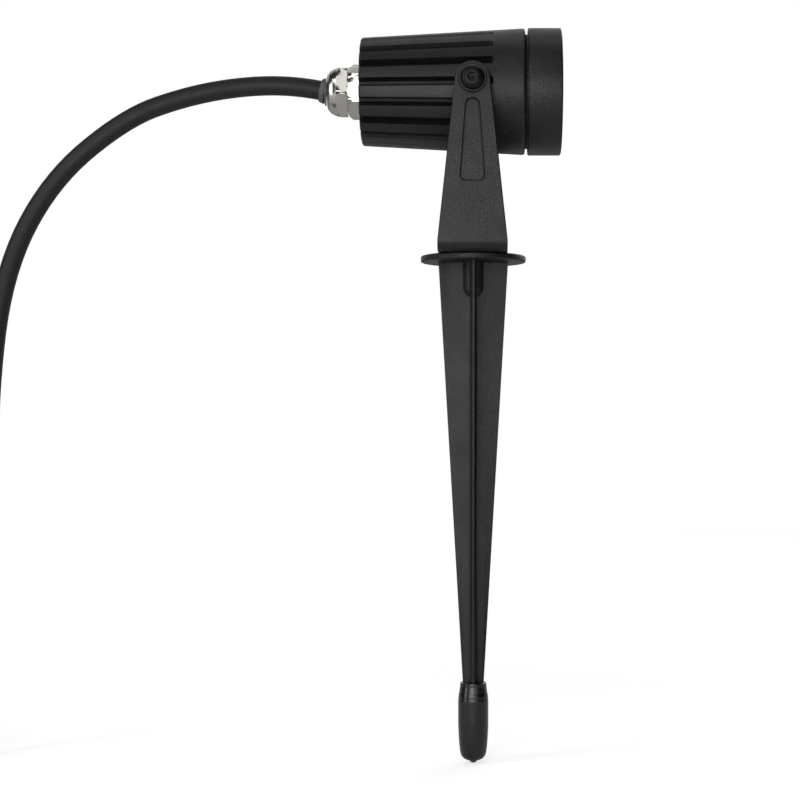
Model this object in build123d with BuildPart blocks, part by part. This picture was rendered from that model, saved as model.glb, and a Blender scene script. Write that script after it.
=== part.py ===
"""Garden spike spotlight: finned lamp head in a yoke, on a four-ribbed ground spike.

Millimetres, +Z up. The origin is the middle of the flange's underside, which is level with the soil.
The lamp shines along +X and its cable gland points along -X. The two arms of the yoke lie at +Y and -Y.
"""

import math
import os

from build123d import *

os.makedirs("parts", exist_ok=True)

# ---------------------------------------------------------------- driving dimensions
# clearances
running_gap = 0.08  # radial, for a shank that turns in its hole
thread_gap = 0.02  # radial, for a thread that is drawn as a plain shank
seat_gap = 0.05  # between faces that slide on each other
loose_gap = 0.2  # for inner pieces that are dropped in

# lamp axis and housing
axis_z = 68.2
body_rear_x = -44.4
body_front_x = 20.6
body_rear_r = 21.3
body_front_r = 24.9
body_edge_r = 1.0
fin_count = 18
groove_end_x = 8.0
groove_top_w = 3.4
groove_floor_w = 1.2
groove_depth = 3.2
groove_end_round = 1.3
neck_r = 22.5
neck_end_x = 28.0
rear_wall = 3.5
chamber_r = 15.5
shoulder_x = 4.0
optic_bore_r = 20.0

# pivot
pivot_screw_r = 2.5
pivot_head_r = 4.75
pivot_head_h = 2.75
pivot_thread_depth = 7.5
pivot_pad_r = 6.4
pivot_pad_y = 24.9
pivot_washer_t = 0.5
pivot_washer_r = 6.2
hex_key = 3.0
hex_key_depth = 1.5
hex_pin_r = 0.5

# front
bezel_gap = 1.1
bezel_front_x = 35.0
bezel_r = 25.05
bezel_edge_r = 0.8
bezel_thread_gap = 0.1
bezel_lip_r = 20.5
bezel_bevel = 1.6
glass_t = 3.0
gasket_t = 1.0
gasket_inner_r = 19.2
ring_section = 1.05
ring_groove_depth = 1.0
ring_groove_w = 1.6
ring_groove_x = 23.2

# light source
carrier_t = 3.0
carrier_screw_pcr = 17.7
carrier_screw_count = 3
m3_r = 1.5
m3_head_r = 2.7
m3_head_h = 1.8
carrier_screw_l = 7.0
pad_r = 12.5
pad_t = 0.5
board_r = 13.2
board_t = 1.6
board_screw_pcr = 10.4
board_screw_r = 1.25
board_head_r = 2.3
board_head_h = 1.5
board_screw_l = 4.6
emitter_side = 11.0
emitter_t = 1.0
phosphor_r = 4.4
phosphor_t = 0.35
reflector_wall = 1.0
reflector_throat_r = 5.6
reflector_mouth_r = 18.4
reflector_rim_r = 19.7
reflector_rim_t = 1.0

led_wire_y = 2.6
led_wire_r = 0.8
led_joint_l = 1.0

# driver
sleeve_wall = 1.0
sleeve_start_x = -36.5
sleeve_end_x = 2.0
rail_side = 1.5
driver_z = -4.0
driver_t = 1.6
driver_l = 35.0
driver_w = 26.0
transformer = (14.0, 13.0, 11.0)
capacitor_r = 4.0
capacitor_l = 10.0
terminal = (6.0, 15.0, 4.8)
terminal_gap = 2.0

# cable gland, 19 mm across flats
gland_af = 19.2
gland_hex_l = 5.0
gland_thread_r = 8.0
gland_stem_l = 6.0
gland_collar_l = 4.2
gland_slit = 0.4
nut_hex_l = 4.3
nut_turned = -17.0
nut_dome_r = 9.65
nut_dome_l = 4.4
nut_dome_mid = (2.8, 8.4)
nut_mouth_r = 6.0
nut_mouth_l = 1.2
rear_chamfer_r = 9.75
rear_chamfer_l = 1.6
front_chamfer_r = 10.6
front_chamfer_l = 0.5
seal_seat_r = 6.3
seal_seat_l = 6.4
seal_mouth_r = 5.3
seal_tip_r = 4.5
seal_tip_l = 2.5
seal_taper_l = 1.7
face_ring_w = 1.1
face_ring_t = 1.0
earth_screw_r = 2.0
earth_head_r = 3.3
earth_head_h = 2.2
earth_screw_place_r = 11.8
lug_t = 0.8
barrel_place = (5.0, 9.6)
barrel_r = 1.6
barrel_l = 3.2

# yoke bracket
yoke_inner_y = 25.5
yoke_t = 3.0
yoke_base_half = 13.5
yoke_top_r = 6.8
yoke_bend_r = 3.75
yoke_edge_r = 0.5
boss_r = 5.25
boss_h = 1.0
pocket_low_z = 28.8
pocket_high_z = 60.9
pocket_high_w = 5.5
pocket_low_w = 10.3
pocket_corner = 2.2
pocket_depth = 1.0

# spike
flange_r = 21.0
flange_t = 2.5
flange_edge_r = 0.7
rib_top_half = 13.9
rib_low_half = 4.0
rib_edge_t = 1.2
rib_root_t = 2.4
spike_l = 194.0
spike_cone_l = 23.0
spike_tip_half = 0.9
boss_core_r = 4.25
boss_core_l = 14.2
insert_r = 3.3
insert_l = 9.4
base_screw_r = 2.5
base_screw_l = 16.0
base_head_r = 4.75
base_head_h = 2.75
base_washer_r = 5.0
base_washer_t = 1.2

# tip cap
cap_over_cone = 3.3
cap_rim_r = 5.2
cap_flare_l = 7.3
cap_swell_r = 6.05
cap_swell_l = 8.0
cap_waist_r = 5.35
cap_waist_up = 4.8
cap_waist_lean = 0.45
cap_waist_bow = 2.4
cap_end_up = 1.2
cap_end_r = 2.6
cap_nub_r = 1.2
cap_end_t = 5.8
cap_fit = 0.12

# supply lead: rubber-sheathed, three cores
cord_d = 7.8
core_d = 2.4
core_ring_r = 2.0
sheath_past_stem = 0.8
# inside the gland's seal the lead starts to bend upwards
gland_bend_r = 40.0
gland_bend_deg = 10.8
first_run = 11.2
# points of the free stretch, chosen by hand: the first ones along the line in view
cord_route = [
    (-93.0, 0.0, 70.5),
    (-115.0, 0.0, 66.5),
    (-139.0, 0.0, 58.0),
    (-170.0, 2.0, 33.0),
    (-191.0, 9.0, -4.0),
    (-199.7, 18.5, -58.0),
    (-201.6, 24.8, -116.0),
]
landing_run = 19.0
landing_turns = 3
fillet_share = 0.45
# put-away length: two layers of turns, wound clockwise as seen from above, and tied
coil_centre = (-258.6, -15.2)
coil_outer_r = 43.35
coil_pitch = 8.3
coil_layer = 8.3
coil_start_deg = -15.0
coil_turns_in = 1.5
coil_turns_climb = 0.5
coil_turns_out = 1.25
coil_lead = 7.8
tie_t = 0.8
tie_w = 10.0
tie_gap = 0.2
tie_bulge = 0.6
tie_after_turns = 0.125
tail_run = 12.0
tail_turn_deg = 13.8

# mains plug
relief_l = 26.0
relief_r = 4.9
relief_front_r = 7.0
plug_l = 36.0
plug_neck_r = 10.0
plug_grip_r = 13.2
plug_face_r = 18.5
plug_face_l = 11.0
pin_r = 2.4
pin_l = 19.0
pin_spacing = 19.0
pin_root_l = 6.0
clip_w = 5.0
clip_t = 0.8
clip_l = 10.0
clip_recess = 1.4

# ---------------------------------------------------------------- derived places
lamp = Plane(origin=(0, 0, axis_z), x_dir=(1, 0, 0), z_dir=(0, -1, 0))
lamp_axis = Axis((0, 0, axis_z), (1, 0, 0))
rise_over_body = (body_front_r - body_rear_r) / (body_front_x - body_rear_x)
cone_deg = math.degrees(math.atan(rise_over_body))
bezel_rear_x = body_front_x + bezel_gap
glass_rear_x = neck_end_x + gasket_t
glass_front_x = glass_rear_x + glass_t
bezel_bore_r = neck_r + bezel_thread_gap
carrier_front_x = shoulder_x + carrier_t
board_rear_x = carrier_front_x + pad_t
board_front_x = board_rear_x + board_t
emitter_front_x = board_front_x + emitter_t
rear_wall_x = body_rear_x + rear_wall
arm_outer_y = yoke_inner_y + yoke_t
boss_face_y = arm_outer_y + boss_h
screw_seat_y = boss_face_y + seat_gap
pivot_hole_end_y = pivot_pad_y - pivot_thread_depth
yoke_low_z = flange_t + seat_gap
yoke_floor_z = yoke_low_z + yoke_t
washer_low_z = yoke_floor_z + seat_gap
base_head_z = washer_low_z + base_washer_t
cord_r = cord_d / 2
spike_tip_z = -spike_l
spike_cone_z = spike_tip_z + spike_cone_l
rib_taper = (rib_top_half - rib_low_half) / (spike_l - spike_cone_l)
cap_rim_z = spike_cone_z + cap_over_cone
cap_swell_top_z = cap_rim_z - cap_flare_l
cap_swell_low_z = cap_swell_top_z - cap_swell_l
cap_nub_z = spike_tip_z - cap_end_t
cap_waist_z = cap_nub_z + cap_waist_up
cap_end_z = cap_nub_z + cap_end_up
floor_z = cap_nub_z


def across(x, turned=0.0):
    """Plane square to the lamp axis at x: its own X is +Y and its own Y is +Z, before it is turned."""
    turn = math.radians(turned)
    return Plane(origin=(x, 0, axis_z), x_dir=(0, math.cos(turn), math.sin(turn)), z_dir=(1, 0, 0))


def sideways(y, side):
    """Plane square to Y at the lamp axis's height, its normal pointing outwards on that side."""
    return Plane(origin=(0, side * y, axis_z), x_dir=(1, 0, 0), z_dir=(0, side, 0))


def body_r(x):
    """Radius of the housing's tapered outside at x."""
    return body_rear_r + (x - body_rear_x) * rise_over_body


def ring(x_from, x_to, r_in, r_out):
    """Plain turned ring or disc on the lamp axis."""
    with BuildPart() as made:
        with BuildSketch(across(x_from)):
            Circle(r_out)
            if r_in > 0:
                Circle(r_in, mode=Mode.SUBTRACT)
        extrude(amount=x_to - x_from)
    return made


# ================================================================ lamp head
# Housing: turned cone, grooves with drafted walls, pads for the pivot, then the bores.
with BuildPart() as heat_sink_body:
    with BuildSketch(lamp):
        with BuildLine():
            Polyline(
                (body_rear_x, 0),
                (body_rear_x, body_rear_r),
                (body_front_x, body_front_r),
                (body_front_x, neck_r),
                (neck_end_x, neck_r),
                (neck_end_x, 0),
                close=True,
            )
        make_face()
    revolve(axis=lamp_axis)
    rear_rim = heat_sink_body.edges().filter_by(GeomType.CIRCLE).sort_by(Axis.X)[0]
    fillet(rear_rim, body_edge_r)
    # a groove is a rounded outline on the cone's surface, cut inwards with draft on its walls and end
    groove_draft = math.degrees(math.atan((groove_top_w - groove_floor_w) / 2 / groove_depth))
    groove_above = 0.3
    groove_start_x = body_rear_x - 3.0
    groove_mid_x = (groove_start_x + groove_end_x) / 2
    groove_l = groove_end_x - groove_start_x
    groove_w = groove_top_w + 2 * groove_above * math.tan(math.radians(groove_draft))
    slope = math.radians(cone_deg)
    for i in range(fin_count):
        around = math.radians(i * 360 / fin_count)
        outwards = Vector(0, math.cos(around), math.sin(around))
        forwards = Vector(1, 0, 0)
        along = forwards * math.cos(slope) + outwards * math.sin(slope)
        inwards = forwards * math.sin(slope) - outwards * math.cos(slope)
        middle = Vector(groove_mid_x, 0, axis_z) + outwards * (body_r(groove_mid_x) + groove_above)
        with BuildSketch(Plane(origin=middle, x_dir=along, z_dir=inwards)):
            RectangleRounded(groove_l, groove_w, groove_end_round)
        extrude(amount=groove_depth + groove_above, taper=groove_draft, mode=Mode.SUBTRACT)
    # round pads that the arms bear on
    with BuildSketch(lamp):
        Circle(pivot_pad_r)
    extrude(amount=pivot_pad_y, both=True)
    # driver chamber behind, optic bore in front
    with BuildSketch(lamp):
        with BuildLine():
            Polyline(
                (rear_wall_x, 0),
                (rear_wall_x, chamber_r),
                (shoulder_x, chamber_r),
                (shoulder_x, optic_bore_r),
                (neck_end_x, optic_bore_r),
                (neck_end_x, 0),
                close=True,
            )
        make_face()
    revolve(axis=lamp_axis, mode=Mode.SUBTRACT)
    # groove of the front sealing ring
    with BuildSketch(lamp):
        with Locations((ring_groove_x, neck_r - ring_groove_depth / 2)):
            Rectangle(ring_groove_w, ring_groove_depth)
    revolve(axis=lamp_axis, mode=Mode.SUBTRACT)
    # tapped holes in the rear wall, for the gland and for the earth screw
    with BuildSketch(across(body_rear_x)):
        Circle(gland_thread_r + thread_gap)
    extrude(amount=rear_wall, mode=Mode.SUBTRACT)
    with BuildSketch(across(rear_wall_x)):
        with Locations((0, earth_screw_place_r)):
            Circle(earth_screw_r + thread_gap)
    extrude(amount=-(rear_wall - 1.0), mode=Mode.SUBTRACT)
    # tapped pivot holes
    for side in (-1, 1):
        with BuildSketch(sideways(pivot_hole_end_y, side)):
            Circle(pivot_screw_r)
        extrude(amount=pivot_thread_depth, mode=Mode.SUBTRACT)
    # tapped holes for the carrier in the shoulder
    with BuildSketch(across(shoulder_x)):
        with PolarLocations(carrier_screw_pcr, carrier_screw_count, start_angle=90):
            Circle(m3_r + thread_gap)
    extrude(amount=-(carrier_screw_l - carrier_t + 1.0), mode=Mode.SUBTRACT)

with BuildPart() as front_bezel:
    with BuildSketch(lamp):
        with BuildLine():
            Polyline(
                (bezel_rear_x, bezel_bore_r),
                (bezel_rear_x, bezel_r),
                (bezel_front_x, bezel_r),
                (bezel_front_x, bezel_lip_r + bezel_bevel),
                (bezel_front_x - bezel_bevel, bezel_lip_r),
                (glass_front_x, bezel_lip_r),
                (glass_front_x, bezel_bore_r),
                close=True,
            )
        make_face()
    revolve(axis=lamp_axis)
    outer_rims = [
        e for e in front_bezel.edges().filter_by(GeomType.CIRCLE) if abs(e.radius - bezel_r) < 0.001
    ]
    fillet(outer_rims, bezel_edge_r)

front_glass = ring(glass_rear_x, glass_front_x, 0, bezel_bore_r - loose_gap)
glass_gasket = ring(neck_end_x, glass_rear_x, gasket_inner_r, bezel_bore_r - loose_gap)

with BuildPart() as bezel_o_ring:
    with BuildSketch(lamp):
        with Locations((ring_groove_x, neck_r - ring_groove_depth + thread_gap + ring_section / 2)):
            Circle(ring_section / 2)
    revolve(axis=lamp_axis)

# Aluminium plate that carries the light source, screwed to the shoulder.
board_low_z = driver_z - driver_t / 2
board_top_z = driver_z + driver_t / 2
led_wire_places = [(led_wire_y, board_low_z - led_wire_r), (-led_wire_y, board_low_z - led_wire_r)]
with BuildPart() as led_carrier:
    with BuildSketch(across(shoulder_x)):
        Circle(optic_bore_r - loose_gap)
        with Locations(*led_wire_places):
            Circle(led_wire_r + loose_gap, mode=Mode.SUBTRACT)
        with PolarLocations(board_screw_pcr, 2):
            Circle(board_screw_r + thread_gap, mode=Mode.SUBTRACT)
        with PolarLocations(carrier_screw_pcr, carrier_screw_count, start_angle=90):
            Circle(m3_r + loose_gap, mode=Mode.SUBTRACT)
    extrude(amount=carrier_t)

with BuildPart() as thermal_pad:
    with BuildSketch(across(carrier_front_x)):
        Circle(pad_r)
        with Locations(*led_wire_places):
            Circle(led_wire_r + loose_gap, mode=Mode.SUBTRACT)
        with PolarLocations(board_screw_pcr, 2):
            Circle(board_screw_r + loose_gap, mode=Mode.SUBTRACT)
    extrude(amount=pad_t)

with BuildPart() as led_board:
    with BuildSketch(across(board_rear_x)):
        Circle(board_r)
        with PolarLocations(board_screw_pcr, 2):
            Circle(board_screw_r + loose_gap, mode=Mode.SUBTRACT)
    extrude(amount=board_t)


def pan_screws(head_x, places, head_r, head_h, shank_r, shank_l):
    """Group of pan screws that point along -X, their heads seated at head_x."""
    with BuildPart() as made:
        with BuildSketch(across(head_x)):
            with places:
                Circle(head_r)
        extrude(amount=head_h)
        fillet(made.edges().group_by(Axis.X)[-1], head_h / 3)
        with BuildSketch(across(head_x)):
            with places:
                Circle(shank_r)
        extrude(amount=-shank_l)
    return made


carrier_screws = pan_screws(
    carrier_front_x,
    PolarLocations(carrier_screw_pcr, carrier_screw_count, start_angle=90),
    min(m3_head_r, optic_bore_r - loose_gap - carrier_screw_pcr),
    m3_head_h,
    m3_r,
    carrier_screw_l,
)
board_screws = pan_screws(
    board_front_x, PolarLocations(board_screw_pcr, 2), board_head_r, board_head_h, board_screw_r, board_screw_l
)

with BuildPart() as led_emitter:
    with BuildSketch(across(board_front_x)):
        RectangleRounded(emitter_side, emitter_side, 0.6)
    extrude(amount=emitter_t)

led_phosphor = ring(emitter_front_x, emitter_front_x + phosphor_t, 0, phosphor_r)

# Reflector: thin bowl, throat round the emitter's disc, rim held under the gasket.
with BuildPart() as reflector:
    bowl_front_x = neck_end_x - reflector_rim_t
    throat_dir = (1, 1.2)
    mouth_dir = (1, 0.42)
    with BuildSketch(lamp):
        with BuildLine():
            Spline(
                (emitter_front_x, reflector_throat_r),
                (bowl_front_x, reflector_mouth_r),
                tangents=[throat_dir, mouth_dir],
            )
            Polyline(
                (bowl_front_x, reflector_mouth_r),
                (neck_end_x, reflector_mouth_r),
                (neck_end_x, reflector_rim_r),
                (bowl_front_x, reflector_rim_r),
                (bowl_front_x, reflector_mouth_r + reflector_wall),
            )
            Spline(
                (emitter_front_x, reflector_throat_r + reflector_wall),
                (bowl_front_x, reflector_mouth_r + reflector_wall),
                tangents=[throat_dir, mouth_dir],
            )
            Line(
                (emitter_front_x, reflector_throat_r + reflector_wall),
                (emitter_front_x, reflector_throat_r),
            )
        make_face()
    revolve(axis=lamp_axis)

# Driver: insulating sleeve with two rails under the board, and the parts on it.
sleeve_outer_r = chamber_r - loose_gap
sleeve_inner_r = sleeve_outer_r - sleeve_wall
board_start_x = sleeve_start_x + 1.0
board_end_x = board_start_x + driver_l
rail_y = driver_w / 2
with BuildPart() as driver_sleeve:
    with BuildSketch(across(sleeve_start_x)):
        with Locations((rail_y, board_low_z - rail_side / 2), (-rail_y, board_low_z - rail_side / 2)):
            Rectangle(rail_side * 2, rail_side)
        Circle(sleeve_inner_r + sleeve_wall / 2, mode=Mode.INTERSECT)
        Circle(sleeve_outer_r)
        Circle(sleeve_inner_r, mode=Mode.SUBTRACT)
        with Locations((rail_y, board_low_z - rail_side / 2), (-rail_y, board_low_z - rail_side / 2)):
            Rectangle(rail_side * 2, rail_side)
        Circle(sleeve_outer_r, mode=Mode.INTERSECT)
    extrude(amount=sleeve_end_x - sleeve_start_x)


def driver_block(x_from, size, low_z, corner_r):
    """Block on or of the driver board: length along X, width, height, with rounded long edges."""
    with BuildPart() as made:
        with BuildSketch(across(x_from)):
            with Locations((0, low_z + size[2] / 2)):
                RectangleRounded(size[1], size[2], corner_r)
        extrude(amount=size[0])
    return made


terminal_x = board_start_x + terminal_gap
transformer_x = terminal_x + terminal[0] + 1.5
capacitor_x = transformer_x + transformer[0] + 0.5
driver_board = driver_block(board_start_x, (driver_l, driver_w, driver_t), board_low_z, 0.3)
terminal_block = driver_block(terminal_x, terminal, board_top_z, 0.5)
driver_transformer = driver_block(transformer_x, transformer, board_top_z, 0.8)
with BuildPart() as driver_capacitor:
    with BuildSketch(across(capacitor_x)):
        with Locations((0, board_top_z + capacitor_r)):
            Circle(capacitor_r)
    extrude(amount=capacitor_l)

# ---------------------------------------------------------------- cable gland
hex_rear_x = body_rear_x - gland_hex_l
collar_end_x = hex_rear_x - gland_collar_l
stem_end_x = body_rear_x + gland_stem_l
nut_front_x = hex_rear_x - gland_slit
nut_dome_x = nut_front_x - nut_hex_l
nut_end_x = nut_dome_x - nut_dome_l
nut_cone_x = collar_end_x - 0.3
nut_mouth_x = nut_end_x + nut_mouth_l
seal_front_x = collar_end_x + seal_seat_l
seal_tip_x = nut_end_x - seal_tip_l
sheath_end_x = stem_end_x + sheath_past_stem

# The lead inside the gland: straight, then an arc that lifts it to where it comes out.
gland_bend = math.radians(gland_bend_deg)
bend_x = seal_tip_x + gland_bend_r * math.sin(gland_bend)
cord_exit = Vector(seal_tip_x, 0, axis_z + gland_bend_r * (1 - math.cos(gland_bend)))
exit_dir = Vector(-math.cos(gland_bend), 0, math.sin(gland_bend))


def on_gland_path(radius, x_from):
    """Round rod of that radius along the lead's line, from x_from to the seal's tip."""
    with BuildPart() as made:
        with BuildLine():
            Line((x_from, 0, axis_z), (bend_x, 0, axis_z))
            TangentArc((bend_x, 0, axis_z), tuple(cord_exit), tangent=(-1, 0, 0))
        with BuildSketch(Plane(origin=(x_from, 0, axis_z), x_dir=(0, 1, 0), z_dir=(-1, 0, 0))):
            Circle(radius)
        sweep()
    return made


def chamfered_hex(x_low, x_high, turned):
    """Hexagon across the gland's flats, one flat to the side before it is turned, corners turned down."""
    corner = gland_af / math.sqrt(3) + 0.5
    with BuildPart() as made:
        with BuildSketch(across(x_low, turned + 30)):
            RegularPolygon(gland_af / 2, 6, major_radius=False)
        extrude(amount=x_high - x_low)
        with BuildSketch(lamp):
            with BuildLine():
                Polyline(
                    (x_low, 0),
                    (x_low, rear_chamfer_r),
                    (x_low + rear_chamfer_l, corner),
                    (x_high - front_chamfer_l, corner),
                    (x_high, front_chamfer_r),
                    (x_high, 0),
                    close=True,
                )
            make_face()
        revolve(axis=lamp_axis, mode=Mode.INTERSECT)
    return made


body_hex = chamfered_hex(hex_rear_x, body_rear_x, 0)
with BuildPart() as gland_body:
    add(body_hex.part)
    with BuildSketch(across(collar_end_x)):
        Circle(gland_thread_r)
    extrude(amount=stem_end_x - collar_end_x)
    with BuildSketch(across(collar_end_x)):
        Circle(cord_r + loose_gap)
    extrude(amount=stem_end_x - collar_end_x, mode=Mode.SUBTRACT)
    with BuildSketch(across(collar_end_x)):
        Circle(seal_seat_r)
    extrude(amount=seal_seat_l, mode=Mode.SUBTRACT)
    # groove for the ring that seals the wall
    with BuildSketch(across(body_rear_x)):
        Circle(gland_thread_r + face_ring_w)
        Circle(gland_thread_r, mode=Mode.SUBTRACT)
    extrude(amount=-face_ring_t, mode=Mode.SUBTRACT)

gland_o_ring = ring(
    body_rear_x - face_ring_t,
    body_rear_x,
    gland_thread_r + seat_gap,
    gland_thread_r + face_ring_w - seat_gap,
)

nut_hex = chamfered_hex(nut_dome_x, nut_front_x, nut_turned)
with BuildPart() as gland_dome_nut:
    add(nut_hex.part)
    with BuildSketch(lamp):
        with BuildLine():
            ThreePointArc(
                (nut_dome_x, nut_dome_r),
                (nut_dome_x - nut_dome_mid[0], nut_dome_mid[1]),
                (nut_end_x, nut_mouth_r),
            )
            Polyline((nut_end_x, nut_mouth_r), (nut_end_x, 0), (nut_dome_x, 0), (nut_dome_x, nut_dome_r))
        make_face()
    revolve(axis=lamp_axis)
    # inner thread, cone that closes the seal, and mouth
    with BuildSketch(lamp):
        with BuildLine():
            Polyline(
                (nut_front_x, 0),
                (nut_front_x, gland_thread_r + thread_gap),
                (nut_cone_x, gland_thread_r + thread_gap),
                (nut_mouth_x, seal_mouth_r + seat_gap),
                (nut_end_x, seal_mouth_r + seat_gap),
                (nut_end_x, 0),
                close=True,
            )
        make_face()
    revolve(axis=lamp_axis, mode=Mode.SUBTRACT)

# Seal: sits in the body, fills the nut's mouth, and ends in a lip that leans with the lead.
lip_x = seal_tip_x + seal_taper_l
lip_bend = math.asin((bend_x - lip_x) / gland_bend_r)
lip_z = axis_z + gland_bend_r * (1 - math.cos(lip_bend))
lip_plane = Plane(
    origin=(lip_x, 0, lip_z), x_dir=(0, 1, 0), z_dir=(-math.cos(lip_bend), 0, math.sin(lip_bend))
)
tip_plane = Plane(origin=cord_exit, x_dir=(0, 1, 0), z_dir=exit_dir)
seal_bore = on_gland_path(cord_r + thread_gap, seal_front_x)
with BuildPart() as gland_seal:
    with BuildSketch(lamp):
        with BuildLine():
            Polyline(
                (seal_front_x, 0),
                (seal_front_x, seal_seat_r - seat_gap),
                (nut_cone_x, seal_seat_r - seat_gap),
                (nut_mouth_x, seal_mouth_r),
                (lip_x, seal_mouth_r),
                (lip_x, 0),
                close=True,
            )
        make_face()
    revolve(axis=lamp_axis)
    with BuildSketch(lip_plane):
        Circle(seal_mouth_r - 0.1)
    with BuildSketch(tip_plane):
        Circle(seal_tip_r)
    loft()
    add(seal_bore.part, mode=Mode.SUBTRACT)

cord_in_gland = on_gland_path(cord_r, sheath_end_x)

# ---------------------------------------------------------------- wires inside
core_places = [
    (core_ring_r * math.cos(math.radians(a)), core_ring_r * math.sin(math.radians(a))) for a in (90, 210, 330)
]
with BuildPart() as supply_leads:
    with BuildSketch(across(sheath_end_x)):
        with Locations(*core_places[1:]):
            Circle(core_d / 2)
    extrude(amount=terminal_x - sheath_end_x)

with BuildPart() as led_leads:
    with BuildSketch(across(board_end_x - led_joint_l)):
        with Locations(*led_wire_places):
            Circle(led_wire_r)
    extrude(amount=board_rear_x - board_end_x + led_joint_l)

lug_x = rear_wall_x + seat_gap
with BuildPart() as earth_screw:
    with BuildSketch(across(lug_x + lug_t + seat_gap)):
        with Locations((0, earth_screw_place_r)):
            Circle(earth_head_r)
    extrude(amount=earth_head_h)
    fillet(earth_screw.edges().group_by(Axis.X)[-1], earth_head_h / 3)
    with BuildSketch(across(lug_x + lug_t + seat_gap)):
        with Locations((0, earth_screw_place_r)):
            Circle(earth_screw_r)
    extrude(amount=-(lug_t + rear_wall - 1.0))

# Earth lead: ring lug on the wall, upright barrel beside it, core that loops back to the sheath.
with BuildPart() as earth_lead:
    with BuildSketch(across(lug_x)):
        with Locations((0, earth_screw_place_r)):
            Circle(earth_head_r)
        with BuildLine():
            Polyline(
                (0, earth_screw_place_r + barrel_r),
                (barrel_place[0], barrel_place[1] + barrel_r),
                (barrel_place[0], barrel_place[1] - barrel_r),
                (0, earth_screw_place_r - barrel_r),
                close=True,
            )
        make_face()
        with Locations(barrel_place):
            Circle(barrel_r)
        with Locations((0, earth_screw_place_r)):
            Circle(earth_screw_r + loose_gap, mode=Mode.SUBTRACT)
    extrude(amount=lug_t)
    with BuildSketch(across(lug_x)):
        with Locations(barrel_place):
            Circle(barrel_r)
    extrude(amount=barrel_l)
    core_start = Vector(sheath_end_x, core_places[0][0], axis_z + core_places[0][1])
    loop_start = core_start + Vector(0.5, 0, 0)
    loop_end = Vector(loop_start.X, barrel_place[0], axis_z + barrel_place[1])
    core_end = Vector(lug_x + barrel_l - 0.5, loop_end.Y, loop_end.Z)
    with BuildLine():
        Line(tuple(core_start), tuple(loop_start))
        TangentArc(tuple(loop_start), tuple(loop_end), tangent=(1, 0, 0))
        Line(tuple(loop_end), tuple(core_end))
    with BuildSketch(Plane(origin=core_start, x_dir=(0, 1, 0), z_dir=(1, 0, 0))):
        Circle(core_d / 2)
    sweep()

# ---------------------------------------------------------------- pivot hardware
with BuildPart() as pivot_screws:
    for side in (-1, 1):
        with BuildSketch(sideways(screw_seat_y, side)):
            Circle(pivot_head_r)
        extrude(amount=pivot_head_h)
    crowns = [
        e
        for e in pivot_screws.edges().filter_by(GeomType.CIRCLE)
        if abs(e.arc_center.Y) > screw_seat_y + pivot_head_h / 2
    ]
    fillet(crowns, pivot_head_h * 0.75)
    for side in (-1, 1):
        with BuildSketch(sideways(screw_seat_y + pivot_head_h, side)):
            RegularPolygon(hex_key / 2, 6, major_radius=False)
            Circle(hex_pin_r, mode=Mode.SUBTRACT)
        extrude(amount=-hex_key_depth, mode=Mode.SUBTRACT)
        with BuildSketch(sideways(pivot_hole_end_y + 1.0, side)):
            Circle(pivot_screw_r - thread_gap)
        extrude(amount=screw_seat_y - pivot_hole_end_y - 1.0)

with BuildPart() as pivot_washers:
    for side in (-1, 1):
        with BuildSketch(sideways(pivot_pad_y, side)):
            Circle(pivot_washer_r)
            Circle(pivot_screw_r + running_gap, mode=Mode.SUBTRACT)
        extrude(amount=pivot_washer_t)

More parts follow.
